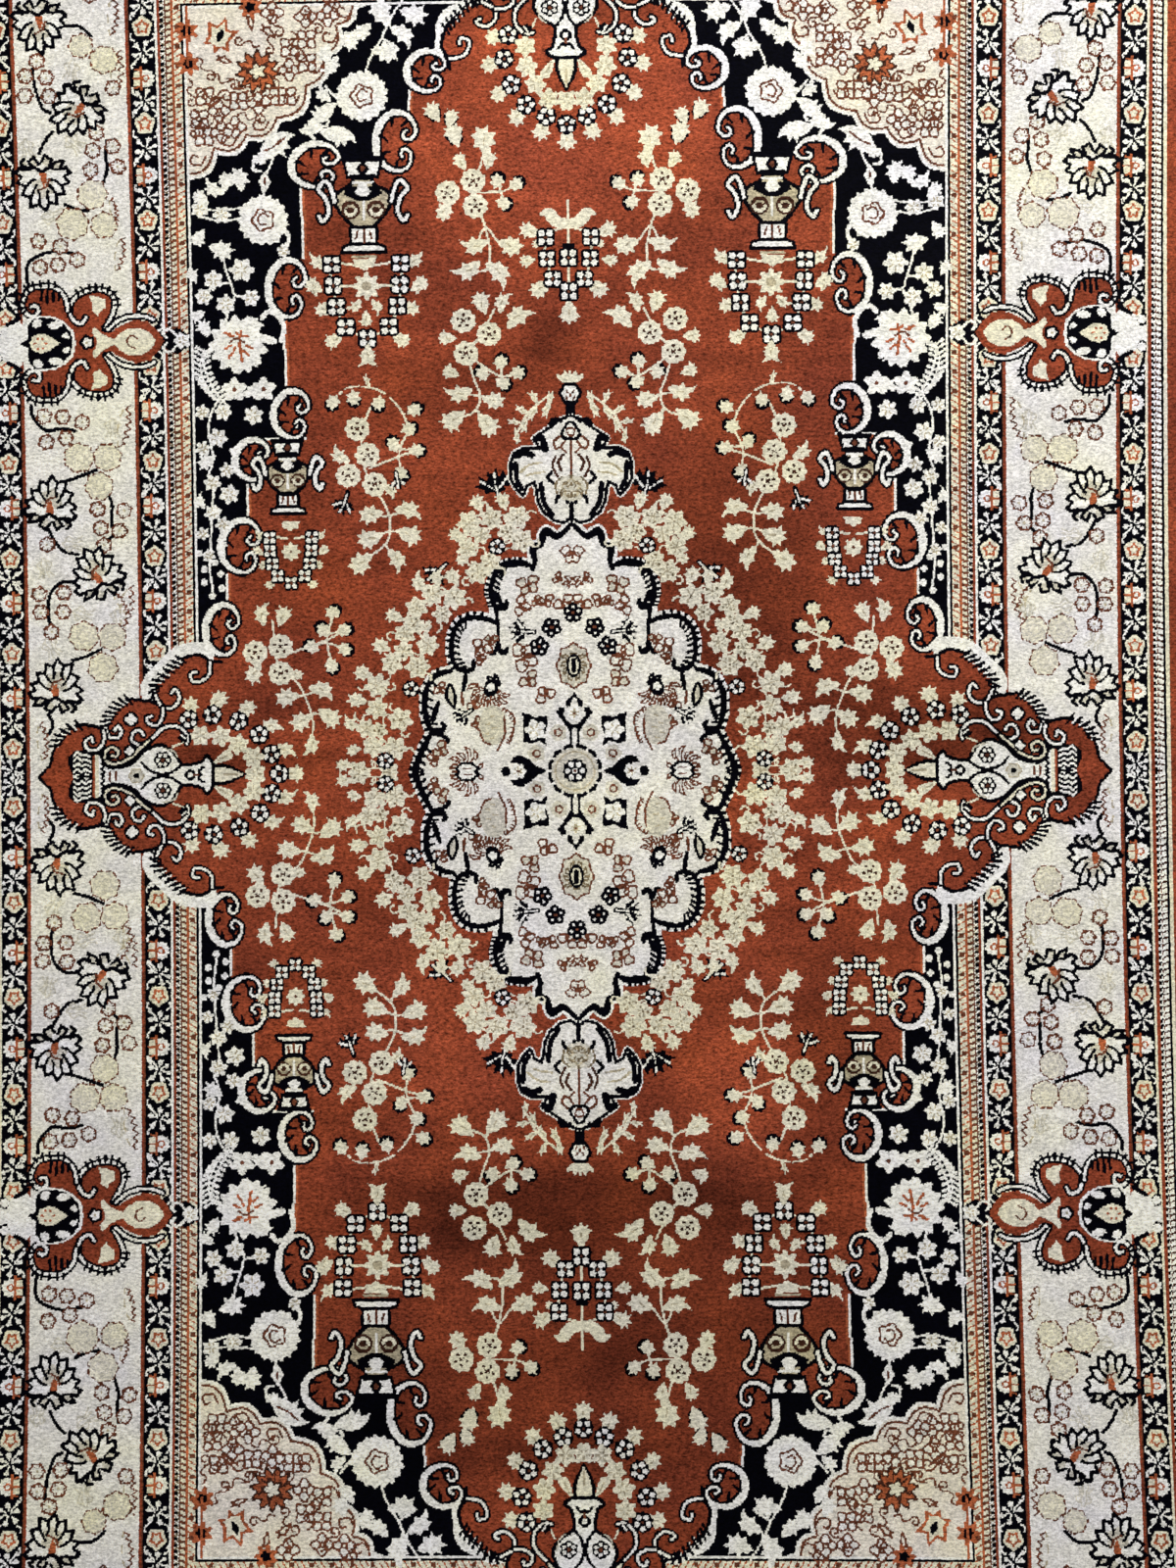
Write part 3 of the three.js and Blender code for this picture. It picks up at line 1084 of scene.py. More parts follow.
print("black band drawn:", len(BAND_FLOWERS), "flowers")

# %% Toothed palmette in the band
TOOTHED_VEINS = [
    (-11, -12), (-14, -4), (10, -14), (13, -4), (-10, 8), (9, 9), (14, 12), (-4, -8), (5, -6), (2, 12),
]
with seated(338, 449):
    fill(ring(28, 13, 0.13), WHITE)
    fill([(-8, -14), (-20, -24), (-8, -22), (0, -32), (8, -22), (20, -24), (8, -14)], WHITE)
    line([(-3, 14), (-1, 0), (-4, -18)], COPPER, 3)
    for x, y in TOOTHED_VEINS:
        line([(x, y), (x * 0.55, y * 0.75 + 2)], COPPER, 2.6)
    line(curve([(-6, 2), (2, 6), (9, 2)]), BROWN, 2.2)
with seated(303, 466):
    line(curve([(-9, -14), (-12, 0), (-6, 12), (4, 16), (10, 10)]), WHITE, [5] * 25)
    line([(0, -14), (14, -10)], WHITE, 8)
print("palmette drawn")

# %% [markdown]
# ## Corner pieces
#
# The corners are pale with scrolls and small flowers drawn in one brown line, and copper palmettes.

# %% Corner pieces
CORNER_FLOWERS = [
    (279, 754), (280, 731), (283, 704), (312, 697), (332, 700), (336, 673), (372, 682), (262, 785),
    (262, 762), (240, 786), (300, 704), (352, 690), (368, 664), (350, 668), (366, 705), (296, 790),
    (262, 738),
]
CORNER_CURLS = [
    # across, up, bearing, size
    (322, 708, 40, 1.0), (345, 705, 10, 1.1), (296, 716, 60, 1.0), (380, 700, 90, 0.9), (310, 680, 20, 0.9),
    (352, 680, -10, 0.9), (270, 745, 80, 1.0), (250, 772, 60, 0.9), (232, 796, 40, 0.8), (378, 668, 100, 0.9),
    (290, 770, 70, 0.9), (336, 716, 30, 1.0), (300, 752, 100, 0.8), (330, 762, 200, 0.8), (360, 726, 60, 0.9),
]
CORNER_LEAVES = [
    # across, up, bearing, size
    (300, 770, 40, 0.7), (345, 742, 20, 0.6), (356, 700, -30, 0.6), (318, 780, 80, 0.6),
]
CORNER_HOOK = np.array([(-9, 5), (-4, -4), (6, -2), (4, 6), (-1, 4)])
for k, (x, y) in enumerate(CORNER_FLOWERS):
    line_flower(x, y, 9.5, 4, turn=0 if k % 2 else 45, ground=IVORY)
for start, end in zip(CORNER_POINTS[1:-1], CORNER_POINTS[2:]):
    middle = (np.array(start) + end) / 2 + (4, 4)
    line(curve(middle + CORNER_HOOK), BROWN, 2.2)
for x, y, bearing, size in CORNER_LEAVES:
    with seated(x, y, bearing, size):
        line(np.vstack([SLIM_LEAF, SLIM_LEAF[:1]]), BROWN, 2.2)
for x, y, bearing, size in CORNER_CURLS:
    with seated(x, y, bearing, size):
        line(curl((0, 0), (7, 0), 1.1, 1), BROWN, 2.0)
        line(curve([(7, 0), (14, -4), (20, 2), (26, -2)]), BROWN, 2.0)
with seated(312, 730):
    fill(ring(20, 11, 0.2, turn=90), UMBER)
    fill(ring(16.5, 11, 0.22, turn=90), COPPER)
    fill(ring(9.5, 5, 0.3), UMBER)
    fill(ring(6.5, 5, 0.3), CREAM)
    for bearing in range(15, 375, 60):
        with seated(turn=bearing):
            line([(9, 0), (15, 1)], UMBER, 2.0)
with seated(349, 768, 20):
    fill(symmetric([(0, 20), (6, 8), (16, 10), (11, -4), (14, -14), (4, -12), (0, -20)]), COPPER)
    fill(symmetric([(0, 15), (4, 5), (11, 6), (8, -4), (9, -10), (0, -12)]), CREAM)
    fill(symmetric([(0, 9), (4, 0), (0, -8)]), BLACK)
for x, y in ((382, 739), (383, 773), (318, 796)):
    fill(ring(10, 7, 0.25) + (x, y), COPPER)
    fill(ring(5, 5, 0.2) + (x, y), BLACK)
line([(382, 797), (382, 738)], COPPER, 2.4)
print("corner pieces drawn")

# %% [markdown]
# ## The main border
#
# The ivory border has white palmettes with a ragged black edge, pale rosettes and bunches of little
# brown-edged flowers, all on a thin black vine. The tables give the places along the right side.
# The hidden ends repeat the lower run.

# %% Main border motifs
def broken(points, dye, width, run=3, gap=2):
    """A path drawn in short dashes."""
    for k in range(0, len(points) - run, run + gap):
        line(points[k:k + run + 1], dye, width)


PALMETTE_DOME = [
    # towards the tip, aside: the ragged upper edge, from one side's hook to the other's
    (-3, -28), (1, -22), (7, -27), (10, -19), (19, -22), (19, -14), (29, -14), (27, -6), (36, -3),
    (29, 4), (32, 13), (22, 12), (19, 21), (11, 17), (6, 26), (1, 21), (-4, 27),
]
PALMETTE_FOLDS = [
    # from a notch of the dome inwards
    [(10, -19), (5, -13), (3, -7)], [(19, -14), (12, -9), (9, -5)], [(27, -6), (19, -4), (15, -5)],
    [(29, 4), (20, 3), (15, 5)], [(22, 12), (14, 9), (9, 6)], [(11, 17), (5, 12), (3, 7)],
]
PALMETTE_CUP = [(-3, -28), (-8, -24), (-7, -15), (-9, -7), (-4, 0), (-9, 8), (-7, 16), (-8, 23), (-4, 27)]
PALMETTE_SEPALS = [
    [(-8, -18), (-15, -22), (-14, -13), (-8, -9)], [(-8, -6), (-17, -10), (-21, -3), (-14, 1)],
    [(-12, 4), (-20, 8), (-15, 14), (-9, 9)], [(-8, 14), (-13, 22), (-18, 18)],
]


def border_palmette(x, y, turn):
    with seated(x, y, turn):
        fill(PALMETTE_DOME, WHITE)
        fill(ring(11, 6, 0.12) + (11, 0), MIST)
        line(PALMETTE_DOME, BLACK, 2.6)
        for points in PALMETTE_FOLDS:
            line(points, BLACK, 2.3)
        line(PALMETTE_CUP, BLACK, 3.4)
        for points in PALMETTE_SEPALS:
            fill(points, MIST)
            line(points, BLACK, 2.6)
        fill([(-3, -4), (4, -5), (11, -1), (4, 2), (-3, 3)], COPPER)
        line([(3, -7), (11, -4), (14, 3)], BROWN, 2.2)


def border_rosette(x, y, radius):
    with seated(x, y, turn=13 * (x + y)):
        fill(ring(radius, 7, 0.05), CREAM)
        broken(ring(radius, 7, 0.06), BROWN, 1.7, 3, 2)
        broken(ring(radius * 0.75, 5, 0.2), MIST, 1.6, 3, 2)
        broken(ring(radius * 0.4, 5, 0.2), MIST, 1.6, 2, 2)


def little_flower(x, y, radius=7.4):
    with seated(x, y, turn=29 * (x + y)):
        fill(ring(radius, 6, 0.06), IVORY)
        line(ring(radius, 6, 0.10), BROWN, 1.8, closed=True)
        for bearing in range(0, 360, 60):
            with seated(turn=bearing):
                line([(radius, 0), (radius - 2.6, 0)], BROWN, 1.5)
        dot(0, 0, 2.8, BEIGE)


def zigzag_leaf(x, y, turn, size):
    with seated(x, y, turn, size):
        teeth = [(-22 + 4 * k, 4.5 * np.sin(k / 11 * np.pi) + (3.2 if k % 2 else -2.2)) for k in range(12)]
        line(teeth, BROWN, 1.7)
        broken(curve([(-22, -2), (-8, -5), (10, -5), (22, 0)], steps=4), BEIGE, 1.7, 2, 2)


def scribble(x, y, turn):
    with seated(x, y, turn):
        for v in (-8, -3, 3, 8):
            line(curve([(-10, v), (-2, 0.5 * v), (4, v), (12 - abs(v) / 2, 0.3 * v)]), MIST, 1.8)


UPPER_RUN = {
    "palmettes": [(532, 788, -90), (533, 627, -90), (492, 698, -45)],
    "rosettes": [(467, 745, 14), (483, 607, 15), (472, 575, 13), (504, 577, 16), (490, 760, 12)],
    "flowers": [
        (535, 745), (526, 728), (547, 730), (524, 709), (548, 710), (461, 656), (481, 652), (456, 635),
        (484, 632), (459, 716), (477, 670), (517, 554), (539, 560), (500, 540), (520, 535), (538, 533),
    ],
    "zigzags": [(457, 545, 100, 0.8), (455, 733, 95, 1.0), (462, 590, 80, 0.6)],
    "scribbles": [(500, 660, 40), (525, 585, 0), (500, 735, 100), (548, 655, 80)],
    "vines": [
        [(539, 738), (538, 720), (531, 697), (523, 692)], [(521, 672), (530, 662), (536, 650)],
        [(467, 662), (468, 645), (467, 633), (472, 617)], [(488, 590), (500, 592), (511, 597)],
        [(503, 546), (524, 549), (541, 544), (551, 535), (551, 512)], [(479, 770), (491, 780), (504, 781)],
    ],
}
LOWER_RUN = {
    "palmettes": [(533, 280, 97), (484, 206, 70), (530, 88, 97)],
    "rosettes": [
        (474, 334, 14), (503, 334, 15), (483, 304, 14), (472, 146, 14), (501, 147, 15), (482, 114, 15),
    ],
    "flowers": [
        (499, 371), (519, 377), (538, 378), (516, 355), (536, 351), (458, 278), (485, 280), (463, 257),
        (482, 260), (479, 242), (521, 193), (546, 192), (522, 173), (545, 173), (534, 152), (537, 244),
        (508, 24),
    ],
    "zigzags": [(457, 366, 100, 1.0), (457, 178, 100, 1.0), (545, 38, 85, 0.9), (463, 182, 60, 0.6)],
    "scribbles": [
        (502, 170, 20), (535, 136, 60), (540, 219, 80), (511, 244, 0), (468, 364, 90), (466, 165, 90),
    ],
    "vines": [
        [(551, 389), (549, 377), (536, 363), (520, 365), (506, 362)], [(485, 321), (510, 312), (523, 309)],
        [(473, 294), (470, 283), (471, 266), (469, 254), (476, 247)],
        [(536, 260), (529, 247), (521, 237), (506, 233)],
        [(512, 204), (525, 203), (536, 188), (536, 157)], [(484, 133), (499, 126), (513, 122)],
        [(538, 66), (534, 54), (540, 44)],
    ],
}
CORNER_RUN = {
    "palmettes": [(506, 918, -135)],
    "rosettes": [
        (478, 856, 14), (506, 862, 13), (472, 950, 15), (540, 880, 15), (535, 948, 14), (447, 925, 14),
    ],
    "flowers": [
        (530, 838), (546, 822), (520, 818), (462, 826), (480, 812), (541, 915), (500, 955), (444, 955),
        (420, 940),
    ],
    "zigzags": [(457, 790, 95, 0.9)],
    "scribbles": [(540, 850, 80), (455, 895, 30)],
    "vines": [[(535, 810), (545, 850), (530, 885), (522, 900)], [(480, 900), (455, 905), (430, 915)]],
}


def border_run(run):
    for points in run["vines"]:
        line(curve(points), BLACK, 3.0)
    for x, y, bearing in run["scribbles"]:
        scribble(x, y, bearing)
    for x, y, bearing, size in run["zigzags"]:
        zigzag_leaf(x, y, bearing, size)
    for x, y, radius in run["rosettes"]:
        border_rosette(x, y, radius)
    for x, y in run["flowers"]:
        little_flower(x, y)
    for x, y, bearing in run["palmettes"]:
        border_palmette(x, y, bearing)


for run in (UPPER_RUN, LOWER_RUN, CORNER_RUN):
    border_run(run)
with border("end"), seated(-FIELD_HALF_WIDTH, 0):
    border_run(LOWER_RUN)
print("main border drawn")

# %% [markdown]
# ## Cartouches
#
# A rust cartouche crosses the side borders where the toothed palmettes of the band look outwards. It is
# drawn on its own axis: the first number is the distance from the rug's middle, the second the
# distance from the axis, and both halves mirror.

# %% Cartouche
CARTOUCHE_STUB = [(414, 0), (420, 11), (430, 20), (439, 22), (451, 20), (461, 15), (469, 9), (474, 14)]
CARTOUCHE_WING = [
    (474, 14), (467, 26), (463, 38), (466, 49), (476, 54), (488, 54), (500, 49), (508, 40), (509, 30),
    (504, 22), (497, 20), (493, 26),
]
CARTOUCHE_LOBE = [
    (511, 34), (514, 48), (524, 58), (538, 59), (551, 55), (557, 43), (555, 33), (547, 28), (541, 33),
    (543, 39), (548, 38),
]


CARTOUCHE_LEAF = [(472, 44), (480, 47), (489, 49), (486, 40), (487, 33), (480, 27), (479, 31), (472, 36)]


def mirrored_curve(points, dye, width):
    for hand in (1, -1):
        line(curve(np.asarray(points, float) * (1, hand)), dye, width)


def lens(points, dye):
    points = np.asarray(points, float)
    fill(np.vstack([points, points[::-1] * (1, -1)]), dye)


def rope(points, dye=WHITE, width=2.6):
    """A pale line with a black one on each side."""
    path = curve(points)
    line(path, BLACK, width + 4.0)
    line(path, dye, width)


def cartouche_half(hand):
    mirror = np.array([1, hand])
    for points in (CARTOUCHE_WING, CARTOUCHE_LOBE):
        rope(points * mirror, width=3.0)
        ticks(curve(points[2:7]) * mirror, BLACK, -6.0 * hand, 3, 2.0)
    rope(np.array([(424, 22), (434, 26), (448, 26), (460, 22), (471, 13)]) * mirror, width=3.0)
    fill(CARTOUCHE_LEAF * mirror, CREAM)
    for a, top, foot in ((519, 52, 45), (525, 55, 44), (531, 56, 42), (537, 55, 45)):
        line([(a, top * hand), (a + 1, foot * hand)], BLACK, 2.6)
    for points in (
        [(508, 7), (512, 13), (517, 9)], [(517, 21), (524, 24), (532, 20), (528, 16), (521, 17)],
        [(539, 24), (546, 25), (549, 18), (543, 17)], [(512, 14), (516, 19), (522, 14)],
    ):
        fill(curve(np.array(points) * mirror, closed=True), WHITE)
    line(np.array([(561, 27), (567, 23), (573, 20)]) * mirror, BLACK, 4.0)
    fill(np.array([(589, 9), (582, 7), (579, 13), (583, 20), (589, 20)]) * mirror, BLACK)
    fill(ring(4.5) + np.array([584, 14]) * mirror, WHITE)


def cartouche():
    lens([(388, 6), (400, 14), (412, 8), (418, 0)], BLACK)
    blossom(395, 0, 7.5, dye=WHITE, petals=5)
    mirrored_curve([(400, 4), (408, 12), (415, 8), (411, 3)], WHITE, 2.6)
    wing = CARTOUCHE_WING[:8] + CARTOUCHE_LOBE[:8]
    lens([(556, 0), (556, 16), (562, 25), (574, 21), (580, 15), (589, 12), (589, 0)], WHITE)
    lens(CARTOUCHE_STUB[:-1] + wing + [(550, 27), (550, 0)], RUST)
    for hand in (1, -1):
        cartouche_half(hand)
    lens([(504, 0), (506, 13), (515, 22), (524, 27), (536, 29), (549, 28), (555, 20), (555, 6),
          (563, 0)], WHITE)
    lens([(507, 0), (509, 12), (516, 20), (524, 25), (536, 27), (547, 26), (552, 19), (552, 5),
          (561, 0)], BLACK)
    for hand in (1, -1):
        for points in (
            [(510, 4), (513, 11), (518, 7)], [(517, 20), (524, 23), (532, 19), (528, 15), (521, 16)],
            [(538, 24), (545, 25), (548, 18), (541, 17)],
        ):
            fill(curve(np.array(points) * (1, hand), closed=True), WHITE)
    lens([(520, 0), (527, 5), (533, 9), (541, 10), (548, 7), (551, 0)], CREAM)
    for bearing in range(0, 360, 60):
        with seated(540, 0, bearing):
            dot(5.6, 0, 3.0, COPPER)
    lens([(422, 0), (428, 9), (438, 14), (450, 14), (459, 9), (464, 3), (470, 5), (477, 9), (485, 17),
          (487, 10), (483, 4), (483, 0)], CREAM)
    line(curve([(443, -7), (450, -3), (451, 3), (446, 7), (441, 3)]), BROWN, 1.8)
    with seated(492, 0):
        outlined(ring(6.2, 5, 0.12), WHITE, BLACK, 2.2)
        dot(0, 0, 2.8, BEIGE)


with seated(0, CARTOUCHE_AXIS):
    cartouche()
print("cartouche drawn")

# %% [markdown]
# ## The arms
#
# From the middle of each side and end an arm of the field reaches across the borders: a vase with a
# plume, two hoops of blossoms and a rust ground that closes in a point. All four are one drawing.

# %% Arm
ARM_LOBES = [
    # outward along the arm, across it
    [(-60, 118), (-49, 119), (-39, 125), (-26, 124), (-16, 119), (-8, 111), (3, 101), (9, 91), (7, 83)],
    [(0, 70), (11, 77), (24, 79), (34, 80), (44, 76), (52, 68), (57, 60), (59, 51)],
    [(60, 47), (69, 52), (84, 54), (99, 49), (108, 40), (111, 31)],
    [(111, 31), (114, 22), (116, 13), (120, 9), (128, 0)],
]
ARM_VOLUTES = [
    [(-49, 118), (-48, 106), (-41, 99), (-31, 98), (-29, 106), (-35, 107)],
    [(8, 84), (1, 72), (-8, 70), (-16, 77), (-16, 86), (-12, 90), (-9, 86)],
    [(0, 70), (1, 61), (6, 53), (14, 54), (17, 60), (12, 62)],
    [(59, 50), (55, 41), (47, 40), (43, 46), (46, 52), (50, 48)],
    [(61, 47), (61, 37), (66, 29), (77, 28), (80, 36), (74, 41), (72, 36)],
]
ARM_INNER_HOOP = [(-38, 41), (-59, 39.5), (-76.5, 31), (-92, 18), (-94, 0)]
ARM_OUTER_HOOP = [(-26, 58), (-50.6, 62.5), (-77, 55.5), (-98, 41), (-110, 20.5), (-118.6, 0)]
VASE_HALF = [
    (-50, 0), (-50, 12), (-44, 20), (-39, 14), (-28, 11), (-18, 12), (-10, 24), (2, 32), (14, 29), (22, 24),
    (29, 16), (37, 11), (47, 9), (57, 10), (63, 21), (66, 22), (66, 0),
]
ARM_HANDLE = [
    (-24, 33), (-25, 40), (-19, 48), (-12, 51), (-1, 50), (9, 41), (17, 34), (27, 33), (33, 38), (30, 46),
    (24, 47), (20, 42),
]
ARM_SPOUT = [
    (15, 36), (26, 27), (34, 19), (44, 14), (54, 13), (60, 18), (59, 26), (53, 30), (47, 27), (48, 21),
    (53, 21),
]


def arm_half(hand):
    mirror = np.array([1, hand])
    for k, lobe in enumerate(ARM_LOBES[:3]):
        path = curve(lobe) * mirror
        line(path, BLACK, 3.0)
        ticks(path, BLACK, -5.5 * hand, 3, 2.2, lean=2.5, first=0.45)
        ticks(path + 0.8, WHITE, 4.5 * hand, 3, 1.6, lean=-2.5, first=0.5)
        ticks(path, BLACK, 5.5 * hand, 3, 2.2, lean=-2.5, first=0.45)
    line(curve(ARM_LOBES[3]) * mirror, BLACK, 2.6)
    for points in ARM_VOLUTES:
        rope(points * mirror)
    stem((-10, 30 * hand), (-38, 41 * hand), (-59, 40 * hand), (-77, 31 * hand), (-92, 18 * hand), (-94, 0))
    for a, b in ARM_OUTER_HOOP:
        leaf(a * 1.13 + 2, b * 1.22 * hand, np.degrees(np.arctan2(b * hand, a)), 0.85)
    for k, (a, b) in enumerate(ARM_OUTER_HOOP):
        star_flower(a, b * hand, 10.5, turn=30 * k)
    for k, (a, b) in enumerate(ARM_INNER_HOOP):
        blossom(a, b * hand, 9.8, turn=20 * k)
    fill(curve(np.array([(-50, 11), (-57, 20), (-66, 26), (-71, 18), (-60, 13)]) * mirror), CREAM)
    line([(-55, 15 * hand), (-65, 20 * hand)], BEIGE, 1.6)


def arm_vase(hand):
    mirror = np.array([1, hand])
    line(curve(np.array([(-18, 10), (-8, 3), (4, 1.5), (14, 5), (23, 14)]) * mirror), BLACK, 2.4)
    with seated(1, 16 * hand):
        fill(ring(8.8, 6, 0.06), BLACK)
        for angle in range(0, 360, 60):
            with seated(turn=angle):
                fill(ring(2.0) + (5.4, 0), WHITE)
        dot(0, 0, 3.4, BROWN)
    line(curve(np.array([(-14, 20), (-9, 26), (2, 28)]) * mirror), MIST, 1.6)
    rope(ARM_HANDLE * mirror)
    fill(ring(5, 5, 0.2) + np.array([-20, 39]) * mirror, BLACK)
    line([(-23, 38 * hand), (-18, 42 * hand)], WHITE, 1.8)
    rope(ARM_SPOUT * mirror, CREAM, 2.4)
    for a, b, radius in ((33, 59, 8.2), (35, 26, 6.4)):
        with seated(a, b * hand):
            fill(ring(radius), BLACK)
            fill(ring(0.66 * radius, 4, 0.16), WHITE)
    line([(63, 24 * hand), (75, 24 * hand)], BLACK, 4)


def arm(margin):
    outline = np.vstack([curve(lobe) for lobe in ARM_LOBES])
    for hand in (1, -1):
        line(outline[12:50] * (1, hand), WHITE, margin)
    lens(np.vstack([[(-60, 0)], outline]), RUST)
    for hand in (1, -1):
        arm_half(hand)
    lens([(-48, 10), (-60, 12), (-72, 8), (-86, 0)], BLACK)
    lens([(-50, 7), (-60, 8), (-70, 5), (-82, 0)], CREAM)
    line([(-62, 0), (-76, 0)], BEIGE, 1.6)
    lens(VASE_HALF, WHITE)
    mirrored_curve(VASE_HALF[:15], BLACK, 3.0)
    line([(-50, -12), (-50, 12)], BLACK, 2.4)
    line(curve([(-41, 8), (-36, 4), (-38, 0), (-36, -4), (-41, -8)]), BLACK, 2.2)
    line(ring(4.4) + (-27, 0), BLACK, 2.4, closed=True)
    line([(-35, 0), (-31, 0)], BROWN, 2.2)
    for hand in (1, -1):
        arm_vase(hand)
    with seated(28, 0):
        fill(ring(7.8, 6, 0.08), MIST)
        line(ring(7.4, 6, 0.08), BEIGE, 1.5, closed=True)
        dot(0, 0, 5.0, BLACK)
    line([(49, -4.5), (49, 4.5)], BROWN, 2.4)
    line([(55, -4.5), (55, 4.5)], BROWN, 2.4)
    line([(61 + 2.4 * (k % 2), 3 * k - 19.5) for k in range(14)], BLACK, 2.2)
    fill([(66, -22), (70, -22), (70, 22), (66, 22)], CREAM)
    line([(71, -22), (71, 22)], COPPER, 2.2)
    lens([(72.5, 22), (79, 27), (90, 28), (97, 22), (98, 13), (95, 5), (92, 0)], BLACK)
    for b in range(-24, 25, 6):
        line([(75, b * 0.85), (80, b * 0.85 + 2.5), (84, b - 1.5), (88, b + 2), (92, b * 0.9)], WHITE, 2.1)
    line([(75, 0), (86, 0)], BLACK, 2.2)


for x, y, turn, margin in ((421, 0, 0, 28), (0, 789.5, 90, 14)):
    with seated(x, y, turn):
        arm(margin)
print("arms drawn")

# %% [markdown]
# ## From the quarter to the whole rug
#
# The quarter is turned over the rug's two middle lines.

# %% Mirror the chart
upper = np.hstack([chart[:, ::-1], chart])
whole = np.vstack([upper[::-1], upper])
print("whole chart:", whole.shape, "knots:", whole.size)

# %% [markdown]
# ## Drift of the rows
#
# On a hand loom the rows and columns wander. A few amounts in millimetres say how: the columns lean
# and flare towards the ends and draw in at the waist, and the rows bow and slant, sag towards the
# ends and lie closer together round the middle.

# %% Drift
COLUMN_SHIFT = 1.5
LEAN = 4.6
FLARE = 8.0
WAIST = 1.5
ROW_SHIFT = 1.5
ROW_BOW = 2.7
ROW_SLANT = 3.0
END_SAG = 2.5
CLOSER_ROWS = 6.5


def drift(x, y):
    """How far the grid has moved at a place of the rug: its columns to the right, its rows up."""
    u, v = x.clip(-600, 600) / 500, y.clip(-800, 800) / 700
    columns = COLUMN_SHIFT - LEAN * v + (FLARE * v**2 - WAIST) * u
    rows = ROW_SHIFT - ROW_BOW * u**2 - END_SAG * v**2 + ROW_SLANT * u * v - CLOSER_ROWS * np.sin(2.3 * v)
    return np.stack([columns, rows], axis=-1)


print("columns lean by", LEAN, "mm and rows slant by", ROW_SLANT, "mm")

# %% [markdown]
# ## From chart to cloth
#
# The model's own sizes are kept here: the foundation's thickness, the pile's height, the selvedges
# and the woven ends. The pile is highest inside and sinks at the rug's rim, and its surface rises
# and dips a little, as silk does that has been walked on.

# %% Sizes of the cloth
MM = 0.001
FOUNDATION = 2.2
PILE = 4.8
SURFACE = FOUNDATION + PILE
SELVEDGE_WIDTH = 5.0
SELVEDGE_HEIGHT = 4.0
UNEVENNESS = 0.4
SEED = 7

rug_low, rug_high = (np.array(corner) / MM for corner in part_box("rug"))
RUG_WIDTH, RUG_LENGTH = (rug_high - rug_low)[:2]
PILE_HALF_WIDTH = COLUMNS * TUFT / 2
PILE_HALF_LENGTH = ROWS * TUFT / 2
print(f"rug {RUG_WIDTH:.1f} x {RUG_LENGTH:.1f} mm, pile {2 * PILE_HALF_WIDTH} x {2 * PILE_HALF_LENGTH} mm")

# %% [markdown]
# Each tuft is one small face, and the corners of the faces form one big grid. Two things keep the
# grid from looking like squared paper: every corner is shaken a little, and the rows drift, as they
# do on a hand loom.

# %% Places of the tufts' corners
SHAKE_ACROSS = 0.35
SHAKE_UP = 0.16


def unevenness(x, y):
    return UNEVENNESS * (0.6 * np.sin(x / 97 + 0.8) * np.cos(y / 143) + 0.4 * np.sin(y / 71 + x / 260))


random = np.random.default_rng(SEED)
grid_x, grid_y = np.meshgrid(
    (np.arange(COLUMNS + 1) - COLUMNS / 2) * TUFT, (np.arange(ROWS + 1) - ROWS / 2) * TUFT
)
corners = np.stack([grid_x, grid_y], axis=2)
inset = np.minimum(PILE_HALF_WIDTH - abs(grid_x), PILE_HALF_LENGTH - abs(grid_y))
inner = (inset / 10).clip(0, 1)
corners += random.uniform(-SHAKE_ACROSS, SHAKE_ACROSS, corners.shape) * inner[..., None]
corners += drift(grid_x, grid_y) * (inset / 60).clip(0, 1)[..., None]
height = np.interp(inset, [0, 2, 5], [FOUNDATION + 0.6 * PILE, FOUNDATION + 0.88 * PILE, SURFACE])
shaken_up = random.normal(0, SHAKE_UP, height.shape).clip(-0.4, 0.4)
height += unevenness(grid_x, grid_y) * inner + shaken_up * inner
tufts = np.dstack([corners, height]) * MM
print(f"pile surface from {height.min():.2f} to {height.max():.2f} mm")

# %% [markdown]
# The pile is laid in fifteen tiles that share their rims, because one mesh of all the tufts would be
# too heavy to bake or to edit. A tile starts as Blender's grid primitive. Its top takes its places
# from the big grid, its rim is extruded down into the foundation, and its underside is closed.

# %% Tiles of pile
TILE_COLUMNS = [174, 173, 174]
TILE_ROWS = [169] * 5
ROOT_HEIGHT = 1.6


def deselect():
    if bpy.context.mode != "OBJECT":
        bpy.ops.object.mode_set(mode="OBJECT")
    bpy.ops.object.select_all(action="DESELECT")


def places_of(mesh):
    place = np.empty(len(mesh.vertices) * 3)
    mesh.vertices.foreach_get("co", place)
    return place.reshape(-1, 3)


